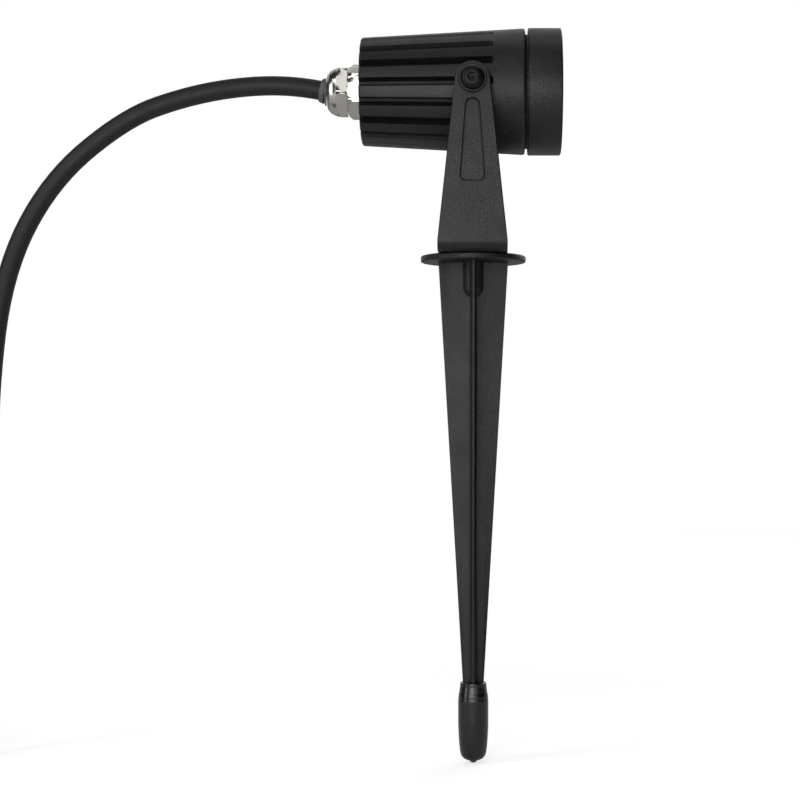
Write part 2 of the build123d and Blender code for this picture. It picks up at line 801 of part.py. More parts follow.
# ================================================================ yoke bracket
bend_end_z = yoke_low_z + yoke_bend_r
flare = Vector(yoke_base_half, bend_end_z - axis_z)
tangent_turn = math.atan2(flare.Y, flare.X) + math.acos(yoke_top_r / flare.length)
tangent_x = yoke_top_r * math.cos(tangent_turn)
tangent_z = yoke_top_r * math.sin(tangent_turn)
with BuildPart() as yoke_bracket:
    # arms: round top and straight flare, their outer edges rounded
    for side in (-1, 1):
        arm_plane = Plane(origin=(0, side * yoke_inner_y, axis_z), x_dir=(side, 0, 0), z_dir=(0, -side, 0))
        with BuildSketch(arm_plane):
            with BuildLine():
                ThreePointArc((tangent_x, tangent_z), (0, yoke_top_r), (-tangent_x, tangent_z))
                Polyline(
                    (-tangent_x, tangent_z),
                    (-yoke_base_half, bend_end_z - axis_z),
                    (yoke_base_half, bend_end_z - axis_z),
                    (tangent_x, tangent_z),
                )
            make_face()
        extrude(amount=-yoke_t)
    arm_edges = [
        e
        for e in yoke_bracket.edges()
        if abs(abs(e.center().Y) - arm_outer_y) < 0.01 and e.center().Z > bend_end_z + 0.1
    ]
    fillet(arm_edges, yoke_edge_r)
    # base plate and its two bends
    with BuildSketch(Plane.YZ):
        with BuildLine():
            FilletPolyline(
                (-arm_outer_y, bend_end_z),
                (-arm_outer_y, yoke_low_z),
                (arm_outer_y, yoke_low_z),
                (arm_outer_y, bend_end_z),
                radius=yoke_bend_r - 0.0001,
            )
            Line((arm_outer_y, bend_end_z), (yoke_inner_y, bend_end_z))
            FilletPolyline(
                (yoke_inner_y, bend_end_z),
                (yoke_inner_y, yoke_floor_z),
                (-yoke_inner_y, yoke_floor_z),
                (-yoke_inner_y, bend_end_z),
                radius=yoke_bend_r - yoke_t - 0.0001,
            )
            Line((-yoke_inner_y, bend_end_z), (-arm_outer_y, bend_end_z))
        make_face()
    extrude(amount=yoke_base_half, both=True)
    # raised boss round each pivot, and the sunk pocket below it
    for side in (-1, 1):
        with BuildSketch(sideways(arm_outer_y, side)):
            Circle(boss_r)
        extrude(amount=boss_h)
        outer_plane = Plane(origin=(0, side * arm_outer_y, 0), x_dir=(side, 0, 0), z_dir=(0, -side, 0))
        with BuildSketch(outer_plane) as pocket:
            with BuildLine():
                Polyline(
                    (-pocket_low_w / 2, pocket_low_z),
                    (pocket_low_w / 2, pocket_low_z),
                    (pocket_high_w / 2, pocket_high_z),
                    (-pocket_high_w / 2, pocket_high_z),
                    close=True,
                )
            make_face()
            fillet(pocket.vertices().group_by(Axis.Y)[0], pocket_corner)
            fillet(pocket.vertices().group_by(Axis.Y)[-1], pocket_high_w / 2)
        extrude(amount=pocket_depth, mode=Mode.SUBTRACT)
    # holes for the pivot screws and the base screw
    with BuildSketch(lamp):
        Circle(pivot_screw_r - thread_gap + running_gap)
    extrude(amount=boss_face_y, both=True, mode=Mode.SUBTRACT)
    with BuildSketch(Plane.XY.offset(yoke_low_z)):
        Circle(base_screw_r - thread_gap + running_gap)
    extrude(amount=yoke_t, mode=Mode.SUBTRACT)

with BuildPart() as base_washer:
    with BuildSketch(Plane.XY.offset(washer_low_z)):
        Circle(base_washer_r)
        Circle(base_screw_r + loose_gap, mode=Mode.SUBTRACT)
    extrude(amount=base_washer_t)

with BuildPart() as base_screw:
    with BuildSketch(Plane.XY.offset(base_head_z)):
        Circle(base_head_r)
    extrude(amount=base_head_h)
    fillet(base_screw.edges().group_by(Axis.Z)[-1], base_head_h * 0.75)
    with BuildSketch(Plane.XY.offset(base_head_z + base_head_h)):
        RegularPolygon(hex_key / 2, 6, major_radius=False)
    extrude(amount=-hex_key_depth, mode=Mode.SUBTRACT)
    with BuildSketch(Plane.XY.offset(base_head_z)):
        Circle(base_screw_r - thread_gap)
    extrude(amount=-base_screw_l)

# ================================================================ spike
insert_low_z = base_head_z - base_screw_l - 0.5
insert_high_z = insert_low_z + insert_l
with BuildPart() as spike_insert:
    with BuildSketch(Plane.XY.offset(insert_low_z)):
        Circle(insert_r)
        Circle(base_screw_r, mode=Mode.SUBTRACT)
    extrude(amount=insert_l)


def rib_half(z):
    """How far a rib reaches from the spike's axis at z."""
    return rib_top_half + z * rib_taper


def rib_cross(z, half, edge_t, root_t):
    """Section of the four ribs at z, thinner at their edges than where they meet."""
    edge, root = edge_t / 2, root_t / 2
    corners = []
    for turn in range(4):
        for x, y in ((half, -edge), (half, edge), (root, root)):
            for _ in range(turn):
                x, y = -y, x
            corners.append((x, y))
    with BuildSketch(Plane.XY.offset(z)) as section:
        with BuildLine():
            Polyline(*corners, close=True)
        make_face()
    return section.sketch


rib_sections = [
    rib_cross(0, rib_half(0), rib_edge_t, rib_root_t),
    rib_cross(spike_cone_z, rib_half(spike_cone_z), rib_edge_t, rib_root_t),
    rib_cross(spike_tip_z, spike_tip_half, rib_edge_t / 2, rib_root_t / 2),
]

with BuildPart() as ground_spike:
    with BuildSketch():
        Circle(flange_r)
    extrude(amount=flange_t)
    fillet(ground_spike.edges().filter_by(GeomType.CIRCLE), flange_edge_r)
    loft(rib_sections, ruled=True)
    # round post that holds the brass insert, closed by a half ball
    with BuildSketch(Plane.XZ):
        with BuildLine():
            post_end_z = -boss_core_l + boss_core_r
            Polyline((0, -boss_core_l), (0, 0), (boss_core_r, 0), (boss_core_r, post_end_z))
            RadiusArc((boss_core_r, post_end_z), (0, -boss_core_l), boss_core_r)
        make_face()
    revolve(axis=Axis.Z)
    with BuildSketch(Plane.XY.offset(insert_low_z)):
        Circle(insert_r + thread_gap)
    extrude(amount=insert_l, mode=Mode.SUBTRACT)
    with BuildSketch(Plane.XY.offset(insert_high_z)):
        Circle(base_screw_r + loose_gap)
    extrude(amount=flange_t - insert_high_z, mode=Mode.SUBTRACT)

# Tip cap: dipped soft cap with a flared foot, its hollow following the ribs' corners.
with BuildPart() as tip_cap:
    hollow_rim_r = math.hypot(rib_half(cap_rim_z), rib_edge_t / 2) + cap_fit
    hollow_cone_r = math.hypot(rib_half(spike_cone_z), rib_edge_t / 2) + cap_fit
    hollow_tip_r = math.hypot(spike_tip_half, rib_edge_t / 4) + cap_fit
    with BuildSketch(Plane.XZ):
        with BuildLine():
            Bezier(
                (cap_rim_r, cap_rim_z),
                ((cap_rim_r + cap_swell_r) / 2, cap_rim_z - cap_flare_l * 0.3),
                (cap_swell_r, cap_swell_top_z + cap_flare_l * 0.3),
                (cap_swell_r, cap_swell_top_z),
            )
            Line((cap_swell_r, cap_swell_top_z), (cap_swell_r, cap_swell_low_z))
            Bezier(
                (cap_swell_r, cap_swell_low_z),
                (cap_swell_r, (cap_swell_low_z + cap_waist_z) / 2),
                (cap_waist_r + cap_waist_lean, cap_waist_z + cap_waist_bow),
                (cap_waist_r, cap_waist_z),
            )
            Bezier(
                (cap_waist_r, cap_waist_z),
                (cap_waist_r - cap_waist_lean, cap_waist_z - cap_waist_bow),
                ((cap_waist_r + cap_end_r) / 2, cap_end_z),
                (cap_end_r, cap_end_z),
            )
            Line((cap_end_r, cap_end_z), (cap_nub_r, cap_nub_z))
            Polyline(
                (cap_nub_r, cap_nub_z),
                (0, cap_nub_z),
                (0, spike_tip_z - cap_fit),
                (hollow_tip_r, spike_tip_z - cap_fit),
                (hollow_cone_r, spike_cone_z),
                (hollow_rim_r, cap_rim_z),
                (cap_rim_r, cap_rim_z),
            )
        make_face()
    revolve(axis=Axis.Z)

# ================================================================ supply lead
# Coil: a spiral inwards, a climb of one layer while it reverses, and a spiral outwards above.
climb_start = coil_turns_in
climb_middle = coil_turns_in + coil_turns_climb / 2
climb_end = coil_turns_in + coil_turns_climb
coil_end = climb_end + coil_turns_out
coil_low_z = floor_z + tie_t + tie_gap + cord_r


def coil_point(turns):
    """Middle of the lead after that many turns of the coil."""
    inwards = min(turns, climb_middle)
    radius = coil_outer_r - coil_pitch * (2 * inwards - turns)
    climbed = min(max((turns - climb_start) / coil_turns_climb, 0), 1)
    rise = coil_layer * climbed * climbed * (3 - 2 * climbed)
    angle = math.radians(coil_start_deg - 360 * turns)
    return Vector(
        coil_centre[0] + radius * math.cos(angle),
        coil_centre[1] + radius * math.sin(angle),
        coil_low_z + rise,
    )


def coil_dir(turns):
    """Direction of the lead there."""
    step = 1e-4
    return (coil_point(turns + step) - coil_point(turns - step)).normalized()


def biarc(p0, t0, p1, t1):
    """Joint of the two arcs that leave p0 along t0 and reach p1 along t1, and the direction there."""
    v, t = p1 - p0, t0 + t1
    a, b, c = 2 * (1 - t0.dot(t1)), 2 * v.dot(t), -v.dot(v)
    d = -c / b if a < 1e-9 else (-b + math.sqrt(b * b - 4 * a * c)) / (2 * a)
    q0, q1 = p0 + t0 * d, p1 - t1 * d
    return (q0 + q1) * 0.5, (q1 - q0).normalized()


coil_steps = round(coil_end * 4)
coil_start_dir = coil_dir(0)
coil_end_dir = coil_dir(coil_end)
coil_start = coil_point(0) - coil_start_dir * coil_lead
coil_finish = coil_point(coil_end) + coil_end_dir * coil_lead
coil_arcs = []
for i in range(coil_steps):
    p0, p1 = coil_point(i / 4), coil_point((i + 1) / 4)
    t0, t1 = coil_dir(i / 4), coil_dir((i + 1) / 4)
    joint, joint_dir = biarc(p0, t0, p1, t1)
    coil_arcs += [(p0, t0, joint), (joint, joint_dir, p1)]

with BuildPart() as cord_coil:
    with BuildLine():
        Line(tuple(coil_start), tuple(coil_arcs[0][0]))
        for begin, direction, end in coil_arcs:
            TangentArc(tuple(begin), tuple(end), tangent=tuple(direction))
        Line(tuple(coil_arcs[-1][2]), tuple(coil_finish))
    with BuildSketch(Plane(origin=coil_start, z_dir=coil_start_dir)):
        Circle(cord_r)
    sweep()

# Free stretch: hangs from the gland, and lands in equal turns that bring it level with the coil.
landing = [coil_start]
for i in range(landing_turns):
    down = math.radians(90 * i / landing_turns)
    flat = Vector(coil_start_dir.X, coil_start_dir.Y, 0).normalized()
    back = flat * math.cos(down) - Vector(0, 0, 1) * math.sin(down)
    landing.insert(0, landing[0] - back * landing_run)
free_points = [cord_exit, cord_exit + exit_dir * first_run]
free_points += [Vector(*p) for p in cord_route] + landing


def fillet_radii(points):
    """Radius at each inner point: a fixed share of the shorter run beside it."""
    radii = []
    for before, here, after in zip(points, points[1:], points[2:]):
        run_in, run_out = here - before, after - here
        half_turn = math.radians(run_in.get_angle(run_out)) / 2
        radii.append(fillet_share * min(run_in.length, run_out.length) / math.tan(half_turn))
    return radii


def cord_along(points):
    """Lead swept along straight runs joined by tangent arcs."""
    with BuildPart() as made:
        with BuildLine():
            FilletPolyline(*[tuple(p) for p in points], radius=fillet_radii(points))
        with BuildSketch(Plane(origin=points[0], z_dir=(points[1] - points[0]).normalized())):
            Circle(cord_r)
        sweep()
    return made


power_cord = cord_along(free_points)

# Tail: leaves the coil's upper layer and tips up a little, so that the plug's face rests on the floor.
plug_total_l = relief_l + plug_l
plug_rise = (floor_z + plug_face_r - coil_finish.Z) / (tail_run + plug_total_l - plug_face_l)
tail_turn = -math.radians(tail_turn_deg)
flat_out = Vector(coil_end_dir.X, coil_end_dir.Y, 0).normalized()
plug_flat = Vector(
    flat_out.X * math.cos(tail_turn) - flat_out.Y * math.sin(tail_turn),
    flat_out.X * math.sin(tail_turn) + flat_out.Y * math.cos(tail_turn),
    0,
)
plug_dir = (plug_flat + Vector(0, 0, plug_rise)).normalized()
tail_corner = coil_finish + coil_end_dir * tail_run
plug_start = tail_corner + plug_dir * tail_run
tail_points = [coil_finish, tail_corner, plug_start]
cord_tail = cord_along(tail_points)

# Tie: flat strap round the coil's bundle where two turns lie on two.
tie_angle = coil_start_deg - 360 * tie_after_turns
turn_radii = [
    (coil_point(turns) - Vector(coil_centre[0], coil_centre[1], coil_point(turns).Z)).length
    for turns in (tie_after_turns, tie_after_turns + 1, climb_end + tie_after_turns, coil_end - tie_after_turns)
]
bundle_in = min(turn_radii) - cord_r - tie_gap - tie_bulge
bundle_out = max(turn_radii) + cord_r + tie_gap + tie_bulge
bundle_h = coil_layer + cord_d + 2 * tie_gap
with BuildPart() as coil_tie:
    radial = Vector(math.cos(math.radians(tie_angle)), math.sin(math.radians(tie_angle)), 0)
    tie_middle = Vector(coil_centre[0], coil_centre[1], coil_low_z + coil_layer / 2)
    tie_middle += radial * (bundle_in + bundle_out) / 2
    tie_normal = Vector(-radial.Y, radial.X, 0)
    with BuildSketch(Plane(origin=tie_middle, x_dir=radial, z_dir=tie_normal)):
        RectangleRounded(bundle_out - bundle_in + 2 * tie_t, bundle_h + 2 * tie_t, tie_t + 1.0)
        RectangleRounded(bundle_out - bundle_in, bundle_h, 1.0, mode=Mode.SUBTRACT)
    extrude(amount=tie_w / 2, both=True)

# ---------------------------------------------------------------- plug
plug_side = Vector(-plug_flat.Y, plug_flat.X, 0)
plug_plane = Plane(origin=plug_start, x_dir=plug_side, z_dir=plug_dir)
plug_axis = Axis(tuple(plug_start), tuple(plug_dir))
profile_plane = Plane(origin=plug_start, x_dir=plug_dir, z_dir=plug_side)
face_plane = plug_plane.offset(plug_total_l)
with BuildPart() as plug_body:
    with BuildSketch(profile_plane):
        with BuildLine():
            Polyline(
                (relief_l, plug_neck_r),
                (relief_l, relief_front_r),
                (0, relief_r),
                (0, 0),
                (plug_total_l, 0),
                (plug_total_l, plug_face_r),
                (plug_total_l - plug_face_l, plug_face_r),
            )
            Spline(
                (relief_l, plug_neck_r),
                (relief_l + (plug_l - plug_face_l) / 2, plug_grip_r),
                (plug_total_l - plug_face_l, plug_face_r),
                tangents=[(1, 0.6), (0.35, 1)],
            )
        make_face()
    revolve(axis=plug_axis)
    for side in (-1, 1):
        with BuildSketch(face_plane):
            with Locations((0, side * plug_face_r)):
                Rectangle(clip_w + 2 * loose_gap, 2 * (clip_recess + clip_t))
        extrude(amount=-clip_l - loose_gap, mode=Mode.SUBTRACT)
    with BuildSketch(face_plane):
        with Locations((-pin_spacing / 2, 0), (pin_spacing / 2, 0)):
            Circle(pin_r)
    extrude(amount=-pin_root_l, mode=Mode.SUBTRACT)

with BuildPart() as plug_pins:
    with BuildSketch(face_plane.offset(-pin_root_l)):
        with Locations((-pin_spacing / 2, 0), (pin_spacing / 2, 0)):
            Circle(pin_r - thread_gap)
    extrude(amount=pin_root_l + pin_l)
    tips = [
        e
        for e in plug_pins.edges().filter_by(GeomType.CIRCLE)
        if face_plane.to_local_coords(e.arc_center).Z > pin_l / 2
    ]
    fillet(tips, pin_r * 0.6)

with BuildPart() as plug_earth_clips:
    for side in (-1, 1):
        with BuildSketch(face_plane):
            with Locations((0, side * (plug_face_r - clip_recess - clip_t / 2 + seat_gap))):
                Rectangle(clip_w, clip_t)
        extrude(amount=-clip_l)

# ================================================================ checks of the lead, and files
leads = {"power_cord": power_cord, "cord_coil": cord_coil, "cord_tail": cord_tail}


def points_on(wire_points, steps):
    """Points on the coil's arcs, at even steps along each."""
    found = []
    for begin, direction, end in wire_points:
        arc = Edge.make_tangent_arc(begin, direction, end)
        found += [arc @ (i / steps) for i in range(steps)]
    return found


def least_gap(points, diameter, skip):
    """Least gap between parts of one tube whose points lie more than skip points apart."""
    least = 1e9
    for i, here in enumerate(points):
        for there in points[i + skip :]:
            least = min(least, (there - here).length)
    return least - diameter


coil_points = points_on(coil_arcs, 16)
print("free stretch fillet radii:", [round(r, 1) for r in fillet_radii(free_points)])
print("tail fillet radii:", [round(r, 1) for r in fillet_radii(tail_points)])
print("coil least gap to itself:", round(least_gap(coil_points, cord_d, 40), 3))
coil_l = sum(Edge.make_tangent_arc(b, d, e).length for b, d, e in coil_arcs) + 2 * coil_lead
coil_radii = [Edge.make_tangent_arc(b, d, e).radius for b, d, e in coil_arcs]
print("coil arc radii:", round(min(coil_radii), 1), "to", round(max(coil_radii), 1))
section = math.pi * cord_r**2
print("coil length", round(coil_l, 1), "volume / (section x length)", cord_coil.part.volume / section / coil_l)
for name, lead in leads.items():
    print(name, "length from volume", round(lead.part.volume / section, 1), "solids", len(lead.part.solids()))

pieces = {
    "heat_sink_body": heat_sink_body,
    "front_bezel": front_bezel,
    "front_glass": front_glass,
    "glass_gasket": glass_gasket,
    "bezel_o_ring": bezel_o_ring,
    "reflector": reflector,
    "led_emitter": led_emitter,
    "led_phosphor": led_phosphor,
    "led_board": led_board,
    "thermal_pad": thermal_pad,
    "board_screws": board_screws,
    "led_carrier": led_carrier,
    "carrier_screws": carrier_screws,
    "driver_sleeve": driver_sleeve,
    "driver_board": driver_board,
    "driver_transformer": driver_transformer,
    "driver_capacitor": driver_capacitor,
    "terminal_block": terminal_block,
    "supply_leads": supply_leads,
    "led_leads": led_leads,
    "earth_lead": earth_lead,
    "earth_screw": earth_screw,
    "gland_body": gland_body,
    "gland_o_ring": gland_o_ring,
    "gland_dome_nut": gland_dome_nut,
    "gland_seal": gland_seal,
    "cord_in_gland": cord_in_gland,
    "pivot_screws": pivot_screws,
    "pivot_washers": pivot_washers,
    "yoke_bracket": yoke_bracket,
    "base_screw": base_screw,
    "base_washer": base_washer,
    "spike_insert": spike_insert,
    "ground_spike": ground_spike,
    "tip_cap": tip_cap,
    "power_cord": power_cord,
    "cord_coil": cord_coil,
    "cord_tail": cord_tail,
    "coil_tie": coil_tie,
    "plug_body": plug_body,
    "plug_pins": plug_pins,
    "plug_earth_clips": plug_earth_clips,
}
for name, piece in pieces.items():
    piece.part.label = name
    export_step(piece.part, f"parts/{name}.step")
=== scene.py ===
"""Garden spike spotlight: looks of the finned lamp head, its yoke, spike, soft cap and rubber lead.

Metres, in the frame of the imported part: the origin is the middle of the flange's underside, +Z is up,
the lamp shines along +X, and the camera stands on the -Y side. Outlines are drawn in millimetres.
"""

import math

import bmesh
import bpy
from bpy.props import FloatProperty, FloatVectorProperty, IntProperty, PointerProperty
from mathutils import Matrix, Vector


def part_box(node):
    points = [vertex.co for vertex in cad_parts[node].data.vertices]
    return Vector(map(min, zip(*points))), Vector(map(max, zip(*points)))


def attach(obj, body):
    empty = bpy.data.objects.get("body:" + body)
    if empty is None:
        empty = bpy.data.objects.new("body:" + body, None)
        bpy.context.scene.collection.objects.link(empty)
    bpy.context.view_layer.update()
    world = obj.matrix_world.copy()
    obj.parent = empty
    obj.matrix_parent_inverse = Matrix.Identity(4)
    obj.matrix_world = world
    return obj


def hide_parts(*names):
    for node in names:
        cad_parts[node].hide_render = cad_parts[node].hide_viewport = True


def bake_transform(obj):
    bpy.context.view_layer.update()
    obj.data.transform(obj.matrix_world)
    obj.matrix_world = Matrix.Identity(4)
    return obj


bl_info = {
    "name": "Garden Spike Spotlight",
    "version": (1, 0, 0),
    "blender": (4, 5, 0),
    "location": "3D View > Sidebar > Spotlight",
    "description": "Builds a die-cast garden spotlight on its ground spike, with its lead and plug",
    "category": "Add Mesh",
}

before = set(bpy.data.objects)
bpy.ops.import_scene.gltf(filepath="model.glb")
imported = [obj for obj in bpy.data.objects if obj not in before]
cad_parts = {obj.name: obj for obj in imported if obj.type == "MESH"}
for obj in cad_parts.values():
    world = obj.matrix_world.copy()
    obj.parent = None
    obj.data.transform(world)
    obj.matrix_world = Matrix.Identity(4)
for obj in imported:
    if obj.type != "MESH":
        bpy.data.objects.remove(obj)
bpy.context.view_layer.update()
MM = 0.001

# ------------------------------------------------------------------ places shared with the solids
AXIS_Z = 68.2  # height of the lamp's axis in mm

# floor, in metres: level with the cap's end
FLOOR_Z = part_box("tip_cap")[0].z
FLOOR_HALF, FLOOR_GAP = 6.0, 0.0002

# places of turned shapes, whose own Z points along the beam, out of the near pivot, or up
LAMP = Matrix.Translation((0, 0, AXIS_Z * MM)) @ Matrix.Rotation(math.radians(90), 4, "Y")
PIVOT = Matrix.Translation((0, 0, AXIS_Z * MM)) @ Matrix.Rotation(math.radians(90), 4, "X")
UPRIGHT = Matrix.Identity(4)

# housing, in mm along the lamp's axis and across it
BODY_REAR_X, BODY_REAR_R = -44.4, 21.3
BODY_FRONT_X, BODY_FRONT_R = 20.6, 24.9
NECK_R, NECK_END_X, OPTIC_R = 22.5, 28.0, 20.0
SHOULDER_X, CHAMBER_R, REAR_WALL_X = 4.0, 15.5, -40.9
GLAND_HOLE_R = 8.05
GROOVE_END_X, GROOVE_TOP_W, GROOVE_FLOOR_W, GROOVE_DEPTH, GROOVE_ROUND = 8.0, 3.4, 1.2, 3.2, 1.3

# along the pivot's axis and the yoke screw's: each screw has its head's seat and its shank's end
PIVOT_PAD_R, PIVOT_PAD_IN, PIVOT_PAD_OUT = 6.4, 19.5, 24.9
PIVOT_SEAT, PIVOT_SHANK_END = 29.55, 17.6
YOKE_SEAT, YOKE_SHANK_END = 6.8, -9.2

# bezel, glass and reflector
BEZEL_BACK_X, BEZEL_FRONT_X, BEZEL_R, BEZEL_BORE_R = 21.7, 35.0, 25.05, 22.6
GLASS_BACK_X, GLASS_FRONT_X, GLASS_R, WINDOW_R, WINDOW_BEVEL = 29.0, 32.0, 22.4, 20.5, 1.6
BOWL_X, BOWL_DEEP, BOWL_HOLE_R, BOWL_MOUTH_R, BOWL_WALL = 10.1, 16.9, 5.6, 18.4, 0.9

# gland: both hexagons come from a bar wider than their corners, its ends bevelled
GLAND_AF, GLAND_BORE_R, GLAND_THREAD_R, BODY_HEX_X, WALL_X = 19.2, 4.2, 8.0, -49.4, -44.4
HEX_BAR_R, HEX_FACE_R, HEX_END_R, HEX_BEVEL, HEX_END_BEVEL = 11.6, 10.6, 9.75, 0.5, 1.6
NUT_TURN, NUT_FRONT_X, NUT_DOME_X, NUT_END_X = -17.0, -49.8, -54.1, -58.5

# lead, in mm: its bend in the seal, the same points as the solids' route, the coil's turns and the tail
GLAND_BEND_R, GLAND_BEND_DEG, SEAL_TIP_X = 40.0, 10.8, -61.0
LEAD_D, FIRST_RUN = 7.8, 11.2
LEAD_ROUTE = [
    (-93.0, 0.0, 70.5),
    (-115.0, 0.0, 66.5),
    (-139.0, 0.0, 58.0),
    (-170.0, 2.0, 33.0),
    (-191.0, 9.0, -4.0),
    (-199.7, 18.5, -58.0),
    (-201.6, 24.8, -116.0),
]
LANDING = [
    (-201.53, 24.10, -168.95),
    (-204.26, 15.00, -185.40),
    (-209.01, -0.76, -194.90),
    (-214.48, -18.95, -194.90),
]
COIL_CENTRE, COIL_OUTER_R, COIL_PITCH, COIL_LAYER = (-258.6, -15.2), 43.35, 8.3, 8.3
COIL_START_DEG, COIL_IN, COIL_CLIMB, COIL_OUT, TIE_LIFT = -15.0, 1.5, 0.5, 1.25, 1.0
TAIL = [(-276.88, -53.29, -186.60), (-288.56, -50.56, -186.60), (-299.22, -45.14, -185.59)]

# camera, found from the photograph: 1640 pixels of focal length on an 800 pixel frame
CAMERA_AT = (0.0067, -0.656, -0.0588)
CAMERA_SHIFT = (-0.1125, 0.0122)
FOCAL_PX, FRAME_PX, SENSOR_MM = 1640.0, 800.0, 36.0


# ------------------------------------------------------------------ colour and nodes
def linear(colour):
    """sRGB hex text to the linear RGBA that Blender's sockets take."""
    parts = [int(colour[i : i + 2], 16) / 255 for i in (1, 3, 5)]
    return tuple(v / 12.92 if v <= 0.04045 else ((v + 0.055) / 1.055) ** 2.4 for v in parts) + (1.0,)


def node(tree, kind, inputs=(), **settings):
    """Adds a node, sets its own settings, then fills or links its inputs by name or index."""
    made = tree.nodes.new(kind)
    for name, value in settings.items():
        setattr(made, name, value)
    for key, value in dict(inputs).items():
        socket = made.inputs[key]
        if isinstance(value, bpy.types.NodeSocket):
            tree.links.new(value, socket)
        else:
            socket.default_value = value
    return made


def straight_rays(tree):
    """1 for what is seen straight or through the glass, 0 for reflections and light."""
    seen = node(tree, "ShaderNodeLightPath").outputs
    inputs = {0: seen["Is Camera Ray"], 1: seen["Is Transmission Ray"]}
    return node(tree, "ShaderNodeMath", inputs, operation="MAXIMUM").outputs[0]


def finish_of(name, colour, **shader):
    """New material with its shader and object coordinates: returns material, tree, shader, coordinates."""
    made = bpy.data.materials.new(name)
    made.use_nodes = True
    tree = made.node_tree
    bsdf = tree.nodes["Principled BSDF"]
    bsdf.inputs["Base Color"].default_value = linear(colour)
    for key, value in shader.items():
        bsdf.inputs[key.replace("_", " ").title().replace("Ior", "IOR")].default_value = value
    where = node(tree, "ShaderNodeTexCoord").outputs["Object"]
    return made, tree, bsdf, where


def per_mm(size_mm):
    """Texture scale whose cells are about that many millimetres."""
    return 1 / (size_mm * MM)


def powder_coat():
    """Fine-texture powder coat on die-cast aluminium: baked grains give a dull, sparkling black, with painted
    shade in its corners.
    """
    made, tree, bsdf, where = finish_of("black_powder_coat", "#0e0e0f")
    # real grains are about 0.2 mm; drawn at 0.7 mm so that they show in the render
    grain = node(
        tree,
        "ShaderNodeTexNoise",
        {"Vector": where, "Scale": per_mm(0.7), "Detail": 3.0, "Roughness": 0.6},
    ).outputs["Fac"]
    drift = node(
        tree,
        "ShaderNodeTexNoise",
        {"Vector": where, "Scale": per_mm(14.0), "Detail": 2.0, "Roughness": 0.6},
    ).outputs["Fac"]
    crest = node(tree, "ShaderNodeMapRange", {"Value": grain, "From Min": 0.35, "From Max": 0.65})
    tone = node(
        tree,
        "ShaderNodeMix",
        {"Factor": crest.outputs["Result"], "A": linear("#09090a"), "B": linear("#171718")},
        data_type="RGBA",
    ).outputs["Result"]
    # painted shade: an ambient occlusion mask darkens inside corners, within 1.1 mm of them, to near black
    # and makes them duller
    shade = node(tree, "ShaderNodeAmbientOcclusion", {"Distance": 1.1 * MM}, samples=8, only_local=True)
    corner_shade_mask = node(
        tree,
        "ShaderNodeMapRange",
        {"Value": shade.outputs["AO"], "From Min": 0.55, "From Max": 0.95, "To Min": 0.15},
    ).outputs["Result"]
    # painted shade: the colour is pulled to near black where the corner mask is low
    colour = node(
        tree, "ShaderNodeMix", {"Factor": corner_shade_mask, "A": linear("#020202"), "B": tone}, data_type="RGBA"
    )
    sheen = node(
        tree,
        "ShaderNodeMapRange",
        {"Value": drift, "From Min": 0.3, "From Max": 0.7, "To Min": 0.38, "To Max": 0.46},
    ).outputs["Result"]
    rough = node(tree, "ShaderNodeMapRange", {"Value": corner_shade_mask, "To Min": 1.0, "To Max": sheen})
    grains = node(tree, "ShaderNodeBump", {"Height": grain, "Strength": 0.9, "Distance": 0.14 * MM})
    tree.links.new(colour.outputs["Result"], bsdf.inputs["Base Color"])
    tree.links.new(rough.outputs["Result"], bsdf.inputs["Roughness"])
    tree.links.new(grains.outputs["Normal"], bsdf.inputs["Normal"])
    return made


def spike_plastic():
    """Moulded glass-filled polypropylene: eroded mould surface, low sheen."""
    made, tree, bsdf, where = finish_of("moulded_polypropylene", "#161617")
    # the mould's texture is about 0.3 mm; drawn at 0.9 mm so that it shows in the render
    grain = node(
        tree,
        "ShaderNodeTexNoise",
        {"Vector": where, "Scale": per_mm(0.9), "Detail": 3.0, "Roughness": 0.6},
    ).outputs["Fac"]
    drift = node(
        tree,
        "ShaderNodeTexNoise",
        {"Vector": where, "Scale": per_mm(18.0), "Detail": 2.0, "Roughness": 0.6},
    ).outputs["Fac"]
    crest = node(tree, "ShaderNodeMapRange", {"Value": grain, "From Min": 0.35, "From Max": 0.65})
    tone = node(
        tree,
        "ShaderNodeMix",
        {"Factor": crest.outputs["Result"], "A": linear("#0c0c0d"), "B": linear("#1a1a1b")},
        data_type="RGBA",
    )
    rough = node(
        tree,
        "ShaderNodeMapRange",
        {"Value": drift, "From Min": 0.3, "From Max": 0.7, "To Min": 0.42, "To Max": 0.52},
    )
    grains = node(tree, "ShaderNodeBump", {"Height": grain, "Strength": 0.9, "Distance": 0.1 * MM})
    tree.links.new(tone.outputs["Result"], bsdf.inputs["Base Color"])
    tree.links.new(rough.outputs["Result"], bsdf.inputs["Roughness"])
    tree.links.new(grains.outputs["Normal"], bsdf.inputs["Normal"])
    return made


def dipped_vinyl():
    """Dip-moulded soft vinyl: smooth liquid skin with faint flow waves, glossy."""
    made, tree, bsdf, where = finish_of("dipped_vinyl", "#08080a", coat_weight=0.5, coat_roughness=0.15)
    flow = node(tree, "ShaderNodeMapping", {"Vector": where, "Scale": (1.0, 1.0, 0.35)}).outputs["Vector"]
    waves = node(
        tree,
        "ShaderNodeTexNoise",
        {"Vector": flow, "Scale": per_mm(5.0), "Detail": 1.0, "Roughness": 0.6},
    ).outputs["Fac"]
    rough = node(
        tree,
        "ShaderNodeMapRange",
        {"Value": waves, "From Min": 0.3, "From Max": 0.7, "To Min": 0.26, "To Max": 0.36},
    )
    swells = node(tree, "ShaderNodeBump", {"Height": waves, "Strength": 0.6, "Distance": 0.06 * MM})
    tree.links.new(rough.outputs["Result"], bsdf.inputs["Roughness"])
    tree.links.new(swells.outputs["Normal"], bsdf.inputs["Normal"])
    return made


